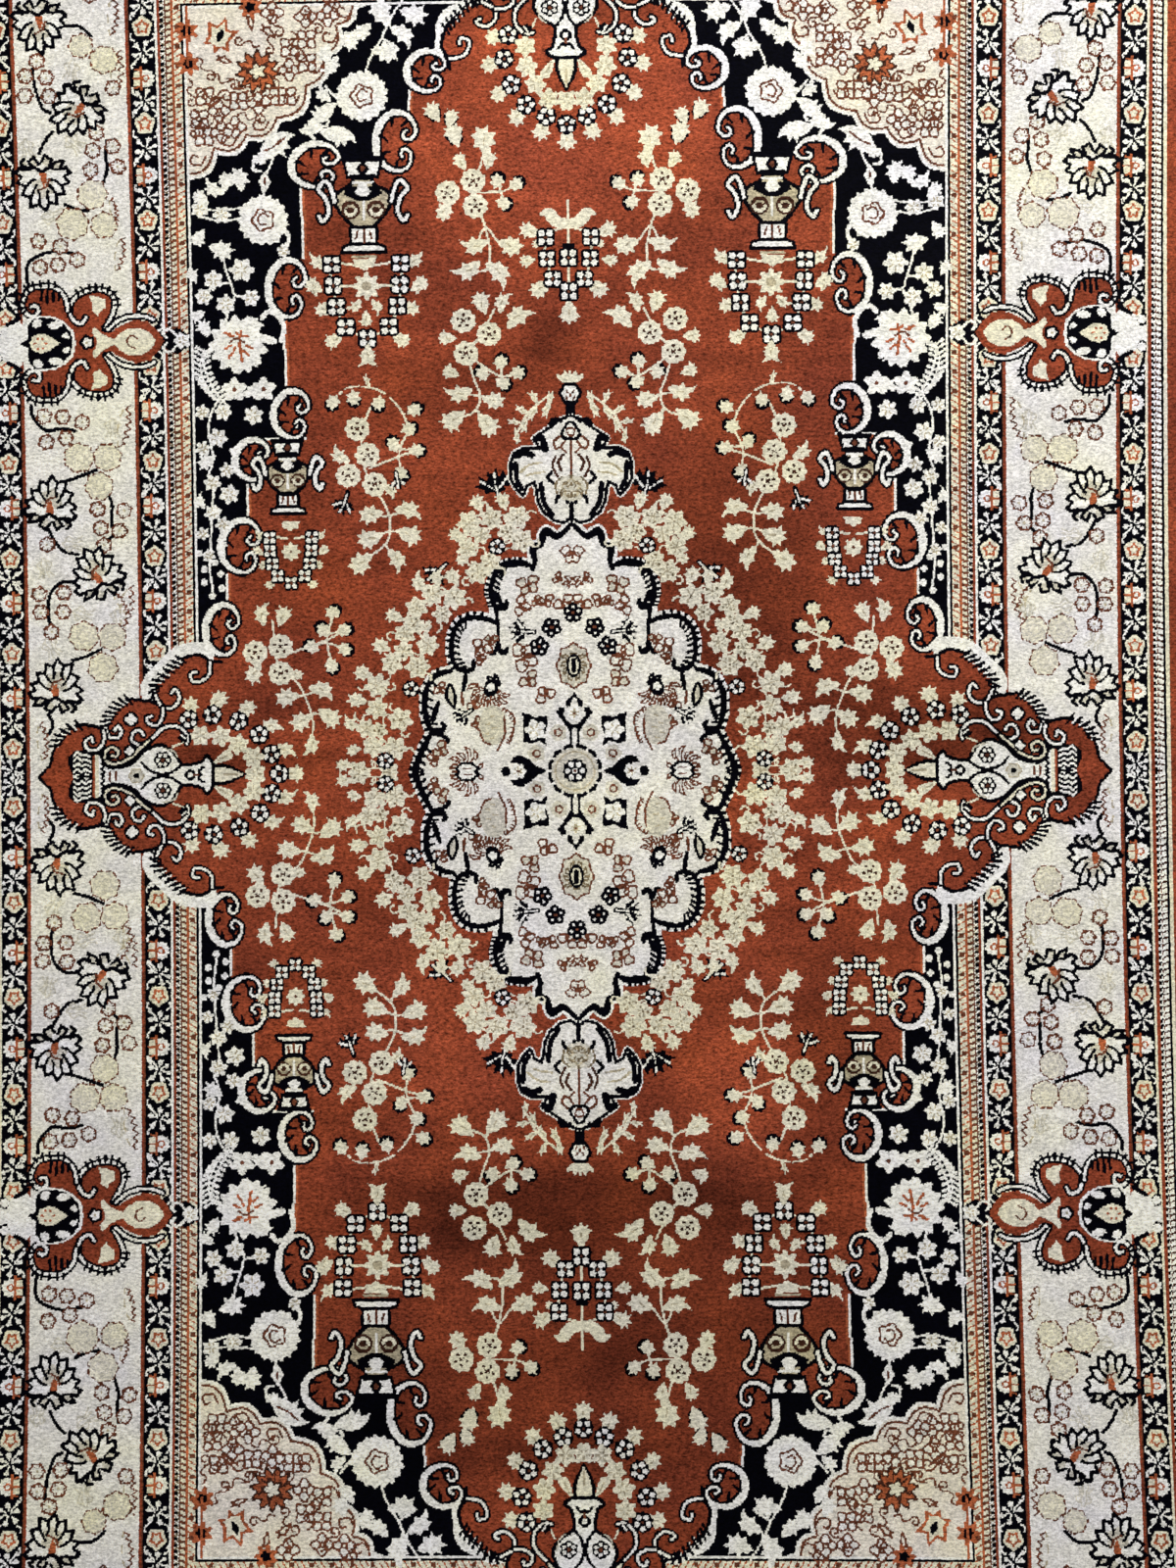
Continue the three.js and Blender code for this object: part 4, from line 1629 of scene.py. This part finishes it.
def pile_map(mesh, top_faces):
    """Gives the tile's top nearly the whole square of its map, and its sides and back a strip below."""
    layer = mesh.uv_layers.new(name="OFBake")
    mesh.uv_layers.active = layer
    loops = len(mesh.loops)
    vertex = np.empty(loops, np.int32)
    mesh.loops.foreach_get("vertex_index", vertex)
    place = places_of(mesh)
    low, high = place.min(axis=0), place.max(axis=0)
    share = ((place - low) / (high - low))[vertex]
    face = np.repeat(np.arange(len(mesh.polygons)), [p.loop_total for p in mesh.polygons])
    normal = np.empty(len(mesh.polygons) * 3)
    mesh.polygons.foreach_get("normal", normal)
    normal = normal.reshape(-1, 3)[face]
    top = face < top_faces
    along_x = ~top & (abs(normal[:, 1]) > 0.7)
    along_y = ~top & (abs(normal[:, 0]) > 0.7)
    back = ~(top | along_x | along_y)
    u = 0.002 + 0.996 * share[:, 0]
    v = 0.05 + 0.948 * share[:, 1]
    v[back] = 0.002 + 0.006 * share[back, 1]
    u[along_y] = 0.002 + 0.996 * share[along_y, 1]
    for choice, facing, row in ((along_x, normal[:, 1] > 0, 0), (along_y, normal[:, 0] > 0, 2)):
        for step, side in ((0, choice & facing), (1, choice & ~facing)):
            v[side] = 0.012 + 0.009 * (row + step) + 0.006 * share[side, 2]
    layer.data.foreach_set("uv", np.column_stack([u, v]).astype(np.float32).ravel())


def dye_corners(mesh, first_row, rows, first_column, columns):
    """Gives each corner of a tuft the dye of the knot it stands on, as full weight in one channel."""
    vertex = np.empty(len(mesh.loops), np.int32)
    mesh.loops.foreach_get("vertex_index", vertex)
    dye = np.full(len(vertex), RUST)
    face = np.arange(rows * columns * 4) // 4
    row, column = face // columns, face % columns
    corner = vertex[:len(face)]
    knot_row = 2 * first_row + row + corner // (columns + 1)
    knot_column = 2 * first_column + column + corner % (columns + 1)
    dye[:len(face)] = whole[knot_row, knot_column]
    for first in range(0, len(DYES), 3):
        weight = np.ones((len(vertex), 4), np.float32)
        weight[:, :3] = dye[:, None] == (first, first + 1, first + 2)
        layer = mesh.attributes.new(f"dyes_{first}", "BYTE_COLOR", "CORNER")
        layer.data.foreach_set("color", weight.ravel())


def pile_tile(name, first_row, rows, first_column, columns):
    deselect()
    bpy.ops.mesh.primitive_grid_add(x_subdivisions=columns, y_subdivisions=rows, size=1)
    tile = bpy.context.object
    tile.name = tile.data.name = name
    top = tufts[first_row:first_row + rows + 1, first_column:first_column + columns + 1]
    tile.data.vertices.foreach_set("co", top.reshape(-1))
    bpy.ops.object.mode_set(mode="EDIT")
    bpy.ops.mesh.select_mode(type="EDGE")
    bpy.ops.mesh.select_all(action="SELECT")
    bpy.ops.mesh.region_to_loop()
    bpy.ops.mesh.extrude_region_move(TRANSFORM_OT_translate={"value": (0, 0, -PILE * MM)})
    bpy.ops.transform.resize(value=(1, 1, 0))
    bpy.ops.mesh.edge_face_add()
    bpy.ops.object.mode_set(mode="OBJECT")
    mesh = tile.data
    place = places_of(mesh)
    place[top.shape[0] * top.shape[1]:, 2] = ROOT_HEIGHT * MM
    mesh.vertices.foreach_set("co", place.reshape(-1))
    dye_corners(mesh, first_row, rows, first_column, columns)
    mesh.shade_smooth()
    bpy.ops.object.shade_smooth_by_angle(angle=np.radians(50))
    pile_map(mesh, rows * columns)
    return tile


tiles = []
for i, rows in enumerate(TILE_ROWS):
    for j, columns in enumerate(TILE_COLUMNS):
        tiles.append(pile_tile(f"pile_{i}_{j}", sum(TILE_ROWS[:i]), rows, sum(TILE_COLUMNS[:j]), columns))
print("tiles:", len(tiles), "with", sum(len(tile.data.polygons) for tile in tiles), "faces")

# %% [markdown]
# ## Foundation and selvedges
#
# Under the pile lies the cloth that it is tied to, in cotton warp and weft. At the short ends it
# shows as a narrow strip of plain weave, and along the long sides it is wrapped with yarn. The
# foundation is a grid extruded into a closed sheet with eased rims, and the wrapping is one turn of
# yarn, repeated by an array.

# %% Foundation
FOUNDATION_STEPS = (36, 60)
END_EASE = 0.6

deselect()
bpy.ops.mesh.primitive_grid_add(
    x_subdivisions=FOUNDATION_STEPS[0], y_subdivisions=FOUNDATION_STEPS[1], size=1
)
foundation = bpy.context.object
foundation.name = foundation.data.name = "foundation"
bpy.ops.object.mode_set(mode="EDIT")
bpy.ops.mesh.select_all(action="SELECT")
width = (RUG_WIDTH - SELVEDGE_WIDTH) * MM
bpy.ops.transform.resize(value=(width, (RUG_LENGTH - 2 * END_EASE) * MM, 1))
bpy.ops.mesh.extrude_region_move(TRANSFORM_OT_translate={"value": (0, 0, FOUNDATION * MM)})
bpy.ops.mesh.select_all(action="SELECT")
bpy.ops.mesh.normals_make_consistent(inside=False)
bpy.ops.object.mode_set(mode="OBJECT")
place = places_of(foundation.data)
place[:, 2] -= place[:, 2].min()
foundation.data.vertices.foreach_set("co", place.reshape(-1))
bevel = foundation.modifiers.new("eased", "BEVEL")
bevel.width = END_EASE * MM
bevel.segments = 2
bevel.limit_method = "ANGLE"
bpy.ops.object.modifier_apply(modifier=bevel.name)
bpy.ops.object.shade_smooth_by_angle(angle=np.radians(50))
print("foundation:", [round(v / MM, 1) for v in foundation.dimensions])


# %% Selvedges
WRAP_SIDES = 8
GROOVE = 0.84


def selvedge(name, side):
    deselect()
    turns = int(RUG_LENGTH / TUFT)
    middle = Vector((side * (RUG_WIDTH - SELVEDGE_WIDTH) / 2, -turns * TUFT / 2, SELVEDGE_HEIGHT / 2)) * MM
    bpy.ops.mesh.primitive_circle_add(
        vertices=WRAP_SIDES, radius=0.5, location=(0, 0, 0), rotation=(np.pi / 2, 0, 0)
    )
    roll = bpy.context.object
    roll.name = roll.data.name = name
    bpy.ops.object.transform_apply(location=False, rotation=True, scale=False)
    bpy.ops.object.mode_set(mode="EDIT")
    bpy.ops.mesh.select_all(action="SELECT")
    bpy.ops.transform.resize(value=(SELVEDGE_WIDTH * GROOVE * MM, 1, SELVEDGE_HEIGHT * GROOVE * MM))
    bpy.ops.transform.translate(value=middle)
    for swell in (1 / GROOVE, GROOVE):
        bpy.ops.mesh.extrude_region_move(TRANSFORM_OT_translate={"value": (0, TUFT / 2 * MM, 0)})
        bpy.ops.transform.resize(value=(swell, 1, swell), center_override=middle)
    bpy.ops.object.mode_set(mode="OBJECT")
    array = roll.modifiers.new("turns", "ARRAY")
    array.count = turns
    array.use_relative_offset = False
    array.use_constant_offset = True
    array.constant_offset_displace = (0, TUFT * MM, 0)
    array.use_merge_vertices = True
    array.merge_threshold = 0.05 * MM
    bpy.ops.object.modifier_apply(modifier=array.name)
    bpy.ops.object.mode_set(mode="EDIT")
    bpy.ops.mesh.select_all(action="SELECT")
    bpy.ops.mesh.fill_holes(sides=WRAP_SIDES)
    bpy.ops.mesh.select_all(action="SELECT")
    bpy.ops.mesh.normals_make_consistent(inside=False)
    bpy.ops.object.mode_set(mode="OBJECT")
    bpy.ops.object.shade_smooth_by_angle(angle=np.radians(60))
    return roll


selvedges = [selvedge("selvedge_left", -1), selvedge("selvedge_right", 1)]
print("selvedges:", [len(roll.data.polygons) for roll in selvedges], "faces")

# %% [markdown]
# ## Dyed silk
#
# Each corner of a tuft carries a weight for each dye. Inside the tuft Blender blends the weights, a
# fine noise frays them, and the shader takes the dye that weighs most. So a colour ends in a crisp
# but ragged line inside the tuft. Over it lie more tones: every knot takes the dye a little
# differently, the cut ends show as a grain of painted shade and highlights, and painted shade and
# sheen lie in patches where the pile lies this way or that.

# %% Node helpers
def new_material(name):
    material = bpy.data.materials.new(name)
    material.use_nodes = True
    tree = material.node_tree
    shader = tree.nodes["Principled BSDF"]
    return material, tree, shader


def node(tree, kind, **values):
    made = tree.nodes.new(kind)
    for key, value in values.items():
        setattr(made, key, value)
    return made


def wire(tree, source, target):
    tree.links.new(source, target)


def mathematics(tree, operation, first, second=None, third=None):
    made = node(tree, "ShaderNodeMath", operation=operation)
    for socket, value in zip(made.inputs, (first, second, third)):
        if value is None:
            continue
        if isinstance(value, (int, float)):
            socket.default_value = value
        else:
            wire(tree, value, socket)
    return made.outputs[0]


def noise(tree, vector, scale, detail=2.0, roughness=0.5, stretch=None):
    if stretch is not None:
        mapping = node(tree, "ShaderNodeMapping")
        mapping.inputs["Scale"].default_value = stretch
        wire(tree, vector, mapping.inputs["Vector"])
        vector = mapping.outputs[0]
    made = node(tree, "ShaderNodeTexNoise")
    made.inputs["Scale"].default_value = scale
    made.inputs["Detail"].default_value = detail
    made.inputs["Roughness"].default_value = roughness
    wire(tree, vector, made.inputs["Vector"])
    return made.outputs["Fac"]


def between(tree, value, low, high, to_low, to_high):
    made = node(tree, "ShaderNodeMapRange")
    made.inputs["From Min"].default_value = low
    made.inputs["From Max"].default_value = high
    made.inputs["To Min"].default_value = to_low
    made.inputs["To Max"].default_value = to_high
    wire(tree, value, made.inputs["Value"])
    return made.outputs[0]


# %% [markdown]
# The ends of the yarn show as a fine grain in the pile and in the selvedges alike, so that grain is
# one node group. In the silk its height drives the bump, and its tone paints shade and highlights in
# small specks over the colour. Each material gives it its own scale and its own darkest and brightest tone.

# %% Yarn grain
yarn_grain_shade_and_highlight = bpy.data.node_groups.new("yarn_grain_shade_and_highlight", "ShaderNodeTree")
for title, kind in (("Place", "Vector"), ("Scale", "Float"), ("Darkest", "Float"), ("Brightest", "Float")):
    yarn_grain_shade_and_highlight.interface.new_socket(title, in_out="INPUT", socket_type="NodeSocket" + kind)
for title in ("Height", "Tone"):
    yarn_grain_shade_and_highlight.interface.new_socket(title, in_out="OUTPUT", socket_type="NodeSocketFloat")
given = node(yarn_grain_shade_and_highlight, "NodeGroupInput")
result = node(yarn_grain_shade_and_highlight, "NodeGroupOutput")
grain_height = noise(yarn_grain_shade_and_highlight, given.outputs["Place"], 1, 4, 0.8, stretch=(0.7, 1.3, 1))
wire(yarn_grain_shade_and_highlight, given.outputs["Scale"], grain_height.node.inputs["Scale"])
grain_painted_light = between(yarn_grain_shade_and_highlight, grain_height, 0.34, 0.66, 0, 1)
wire(yarn_grain_shade_and_highlight, given.outputs["Darkest"], grain_painted_light.node.inputs["To Min"])
wire(yarn_grain_shade_and_highlight, given.outputs["Brightest"], grain_painted_light.node.inputs["To Max"])
wire(yarn_grain_shade_and_highlight, grain_height, result.inputs["Height"])
wire(yarn_grain_shade_and_highlight, grain_painted_light, result.inputs["Tone"])
print("yarn grain group:", len(yarn_grain_shade_and_highlight.nodes), "nodes")


def grain_of(tree, place, scale, darkest, brightest):
    made = node(tree, "ShaderNodeGroup", node_tree=yarn_grain_shade_and_highlight)
    wire(tree, place, made.inputs["Place"])
    for title, value in (("Scale", scale), ("Darkest", darkest), ("Brightest", brightest)):
        made.inputs[title].default_value = value
    return made.outputs["Height"], made.outputs["Tone"]


# %% Silk: which dye
FRAY = 1.1

silk, tree, shader = new_material("silk_pile")
place = node(tree, "ShaderNodeTexCoord").outputs["Object"]
fray = node(tree, "ShaderNodeTexNoise")
fray.inputs["Scale"].default_value = 620
fray.inputs["Detail"].default_value = 1.0
wire(tree, place, fray.inputs["Vector"])
fray_parts = node(tree, "ShaderNodeSeparateColor")
wire(tree, fray.outputs["Color"], fray_parts.inputs[0])

strongest, dyed = None, None
for k, colour in enumerate(DYES.values()):
    if k % 3 == 0:
        weights = node(tree, "ShaderNodeSeparateColor")
        layer = node(tree, "ShaderNodeAttribute", attribute_name=f"dyes_{k}")
        wire(tree, layer.outputs["Color"], weights.inputs[0])
    weight = mathematics(tree, "MULTIPLY_ADD", fray_parts.outputs[k % 3], FRAY, weights.outputs[k % 3])
    if strongest is None:
        dyed = node(tree, "ShaderNodeRGB").outputs[0]
        dyed.default_value = (*colour, 1)
        strongest = weight
        continue
    ahead = mathematics(tree, "GREATER_THAN", weight, strongest)
    choose = node(tree, "ShaderNodeMix", data_type="RGBA")
    wire(tree, ahead, choose.inputs[0])
    wire(tree, dyed, choose.inputs[6])
    choose.inputs[7].default_value = (*colour, 1)
    dyed = choose.outputs[2]
    strongest = mathematics(tree, "MAXIMUM", weight, strongest)
print("dyes in the silk:", len(DYES))

# %% [markdown]
# Where the pile was swept or walked on it lies over and looks darker or brighter under the light,
# and that is painted into the colour here as shade and sheen. Large patches of painted shade and
# sheen have their own places, and noise paints more of them, large and small. A stretched noise
# adds darker and brighter streaks that run along the rows. Dark dyes show all of it, and the
# palest about half of the fine grain and a fifth of the broad tones. A slow change of the blue,
# from the same noise as the patches, paints the shaded patches cooler and the bright ones warmer.

# %% Silk: tones, painted shade and sheen, and relief
# Placed patches of painted shade, where the change is below nought, and of painted sheen, where it is above.
SHADE_AND_SHEEN_PATCHES = [
    # across, up, half width, half length, change of tone
    (-40, 670, 200, 130, 0.34), (110, 700, 90, 90, 0.18), (-20, 443, 36, 30, -0.44),
    (165, 190, 110, 210, -0.36), (-60, 540, 140, 60, 0.10), (-290, 230, 50, 160, -0.14),
    (-250, -20, 90, 70, 0.14), (-110, -250, 120, 110, 0.16), (160, -320, 60, 80, 0.34),
    (0, -440, 280, 62, -0.40), (262, -290, 60, 150, -0.30), (0, -600, 420, 190, -0.34),
    (-360, 16, 220, 20, -0.42), (400, 28, 100, 60, -0.48), (290, 40, 70, 80, -0.34),
    (-110, -560, 80, 60, 0.12), (-500, -560, 110, 300, -0.10),
]


# One soft round patch of painted shade or sheen: the change of tone in its middle, fading to nothing.
def shade_and_sheen_patch(across_mm, up_mm, half_width, half_length, change):
    moved = node(tree, "ShaderNodeMapping", vector_type="POINT")
    scale = (1 / (half_width * MM), 1 / (half_length * MM), 0)
    moved.inputs["Scale"].default_value = scale
    moved.inputs["Location"].default_value = (-across_mm * MM * scale[0], -up_mm * MM * scale[1], 0)
    wire(tree, place, moved.inputs["Vector"])
    away = node(tree, "ShaderNodeVectorMath", operation="LENGTH")
    wire(tree, moved.outputs[0], away.inputs[0])
    soft = node(tree, "ShaderNodeMapRange", interpolation_type="SMOOTHERSTEP")
    soft.inputs["From Min"].default_value = 0.15
    soft.inputs["From Max"].default_value = 1.35
    soft.inputs["To Min"].default_value = change
    soft.inputs["To Max"].default_value = 0
    wire(tree, away.outputs["Value"], soft.inputs["Value"])
    return soft.outputs[0]


snap = node(tree, "ShaderNodeVectorMath", operation="SNAP")
snap.inputs[1].default_value = (KNOT * MM, KNOT * MM, 1)
wire(tree, place, snap.inputs[0])
per_knot = node(tree, "ShaderNodeTexWhiteNoise", noise_dimensions="2D")
wire(tree, snap.outputs[0], per_knot.inputs["Vector"])
knot_tone = between(tree, per_knot.outputs["Value"], 0, 1, 0.84, 1.14)
# The grain's tone is painted shade and highlights of the cut yarn ends. Its height drives the bump.
grain, grain_shade_and_highlight = grain_of(tree, place, 300, 0.22, 1.85)
bands = noise(tree, place, 6, 4, 0.6, stretch=(0.6, 3.5, 1))
band_tone = between(tree, bands, 0.3, 0.7, 0.76, 1.22)
# Painted shade and sheen where the pile lies over: a noise of patches, with the placed patches on top.
patches = noise(tree, place, 9, 5, 0.62)
nap_shade_and_sheen = between(tree, patches, 0.32, 0.68, 0.74, 1.22)
for row in SHADE_AND_SHEEN_PATCHES:
    nap_shade_and_sheen = mathematics(tree, "ADD", nap_shade_and_sheen, shade_and_sheen_patch(*row))
# Smaller patches of painted shade and sheen in the pile.
brushed_shade_and_sheen = between(tree, noise(tree, place, 45, 3, 0.7, stretch=(0.8, 1.6, 1)), 0.3, 0.7, 0.84, 1.16)

# The fine tone holds each knot's dye, the grain's painted shade and highlights and the smaller painted shade
# and sheen. The broad tone holds the streaks and the larger painted shade and sheen.
fine_tone = mathematics(tree, "MULTIPLY", mathematics(tree, "MULTIPLY", knot_tone, grain_shade_and_highlight), brushed_shade_and_sheen)
broad_tone = mathematics(tree, "MULTIPLY", band_tone, nap_shade_and_sheen)
dyed_parts = node(tree, "ShaderNodeSeparateColor")
wire(tree, dyed, dyed_parts.inputs[0])


def by_dye(part, on_pale):
    """The tone at full strength on dark dyes, and only `on_pale` of it on the palest."""
    strength = between(tree, dyed_parts.outputs[1], 0.05, 0.80, 1.0, on_pale)
    change = mathematics(tree, "SUBTRACT", part, 1.0)
    return mathematics(tree, "MULTIPLY_ADD", change, strength, 1.0)


tone = mathematics(tree, "MULTIPLY", by_dye(fine_tone, 0.56), by_dye(broad_tone, 0.22))
# Painted cooler colour in the shaded patches and warmer colour in the bright ones, from the same noise.
cast = node(tree, "ShaderNodeCombineXYZ")
cast.inputs[0].default_value = 1.0
cast.inputs[1].default_value = 1.0
wire(tree, between(tree, patches, 0.32, 0.68, 1.14, 0.88), cast.inputs[2])
warmed = node(tree, "ShaderNodeVectorMath", operation="MULTIPLY")
wire(tree, dyed, warmed.inputs[0])
wire(tree, cast.outputs[0], warmed.inputs[1])
tinted = node(tree, "ShaderNodeVectorMath", operation="SCALE")
wire(tree, warmed.outputs[0], tinted.inputs[0])
wire(tree, mathematics(tree, "MAXIMUM", tone, 0.08), tinted.inputs["Scale"])
wire(tree, tinted.outputs[0], shader.inputs["Base Color"])
wire(tree, between(tree, patches, 0.3, 0.7, 0.62, 0.48), shader.inputs["Roughness"])

bump = node(tree, "ShaderNodeBump")
bump.inputs["Strength"].default_value = 0.8
bump.inputs["Distance"].default_value = 0.9 * MM
wire(tree, grain, bump.inputs["Height"])
wire(tree, bump.outputs[0], shader.inputs["Normal"])
shader.inputs["Specular IOR Level"].default_value = 0.02
for tile in tiles:
    tile.data.materials.append(silk)
print("silk on", len(tiles), "tiles")

# %% Cotton material
cotton, tree, shader = new_material("cotton_foundation")
place = node(tree, "ShaderNodeTexCoord").outputs["Object"]
threads = node(tree, "ShaderNodeTexWave", wave_type="BANDS", bands_direction="X")
threads.inputs["Scale"].default_value = 100
wire(tree, place, threads.inputs["Vector"])
tone = between(tree, threads.outputs["Fac"], 0, 1, 0.6, 1.0)
cream = node(tree, "ShaderNodeVectorMath", operation="SCALE")
cream.inputs[0].default_value = DYES["ivory"]
wire(tree, tone, cream.inputs["Scale"])
wire(tree, cream.outputs[0], shader.inputs["Base Color"])
shader.inputs["Roughness"].default_value = 0.8
foundation.data.materials.append(cotton)

wrap, tree, shader = new_material("selvedge_wrap")
place = node(tree, "ShaderNodeTexCoord").outputs["Object"]
# The wrapping's colour takes the same grain of painted shade and highlights, more mildly.
tone = grain_of(tree, place, 700, 0.7, 1.2)[1]
rust_yarn = node(tree, "ShaderNodeVectorMath", operation="SCALE")
rust_yarn.inputs[0].default_value = DYES["rust"]
wire(tree, tone, rust_yarn.inputs["Scale"])
wire(tree, rust_yarn.outputs[0], shader.inputs["Base Color"])
shader.inputs["Roughness"].default_value = 0.6
for roll in selvedges:
    roll.data.materials.append(wrap)
print("materials:", [m.name for m in bpy.data.materials])

# %% [markdown]
# ## Floor, light and camera
#
# The rug lies on a plain pale floor. A broad light from above and to the upper right makes that side
# of the silk bright, as in the photograph. Two weak fills, from the left and from the rug's foot,
# keep the black yarn readable. The camera looks down at the middle part of the rug and is turned
# very slightly.

# %% Floor and light
deselect()
bpy.ops.mesh.primitive_plane_add(size=8, location=(0, 0, -0.0005))
floor = bpy.context.object
floor.name = "floor"
plaster, tree, shader = new_material("floor_plaster")
shader.inputs["Base Color"].default_value = (0.72, 0.70, 0.67, 1)
shader.inputs["Roughness"].default_value = 0.8
floor.data.materials.append(plaster)

LIGHTS = [
    # name, place, size, power
    ("key", (1.2, 2.4, 2.0), 1.6, 91),
    ("fill", (-1.8, 0.2, 2.6), 2.4, 10),
    ("foot", (0.3, -2.4, 2.3), 1.8, 8),
]
for name, position, size, power in LIGHTS:
    light = bpy.data.lights.new(name, "AREA")
    light.size = size
    light.energy = power
    lamp = bpy.data.objects.new(name, light)
    lamp.location = position
    lamp.rotation_euler = (Vector((0, 0, 0)) - lamp.location).to_track_quat("-Z", "Y").to_euler()
    bpy.context.collection.objects.link(lamp)
world = bpy.data.worlds.new("room")
world.use_nodes = True
world.node_tree.nodes["Background"].inputs["Color"].default_value = (1, 0.99, 0.97, 1)
world.node_tree.nodes["Background"].inputs["Strength"].default_value = 0.25
bpy.context.scene.world = world
bpy.context.scene.view_settings.view_transform = "Standard"
print("lights:", [row[0] for row in LIGHTS])

# %% Camera
SHOWN_HEIGHT = 1.6
CAMERA_HEIGHT = 1.6
AIM = Vector((0.0145, -0.012, 0.007))
TILT = 0.7
ROLL = 0.36

camera_data = bpy.data.cameras.new("camera")
camera_data.sensor_fit = "VERTICAL"
camera_data.sensor_height = 36
camera_data.lens = 36 * CAMERA_HEIGHT / SHOWN_HEIGHT
camera = bpy.data.objects.new("camera", camera_data)
camera.location = AIM + Vector((0, -CAMERA_HEIGHT * np.sin(np.radians(TILT)), CAMERA_HEIGHT))
camera.rotation_euler = (np.radians(TILT), 0, np.radians(-ROLL))
bpy.context.collection.objects.link(camera)
bpy.context.scene.camera = camera
print("camera at", [round(v, 3) for v in camera.location])

# %% [markdown]
# ## The pieces
#
# The foundation, the selvedges and the tiles are attached to one body, and together they stand for
# the model's one solid, whose own part is hidden.

# %% Pieces and sizes
rug_pieces = [foundation, *selvedges, *tiles]
for piece in rug_pieces:
    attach(piece, "root")
    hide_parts("rug")

triangles = sum(len(loop.vertices) - 2 for piece in rug_pieces for loop in piece.data.polygons)
print("pieces:", len(rug_pieces), "triangles:", triangles)
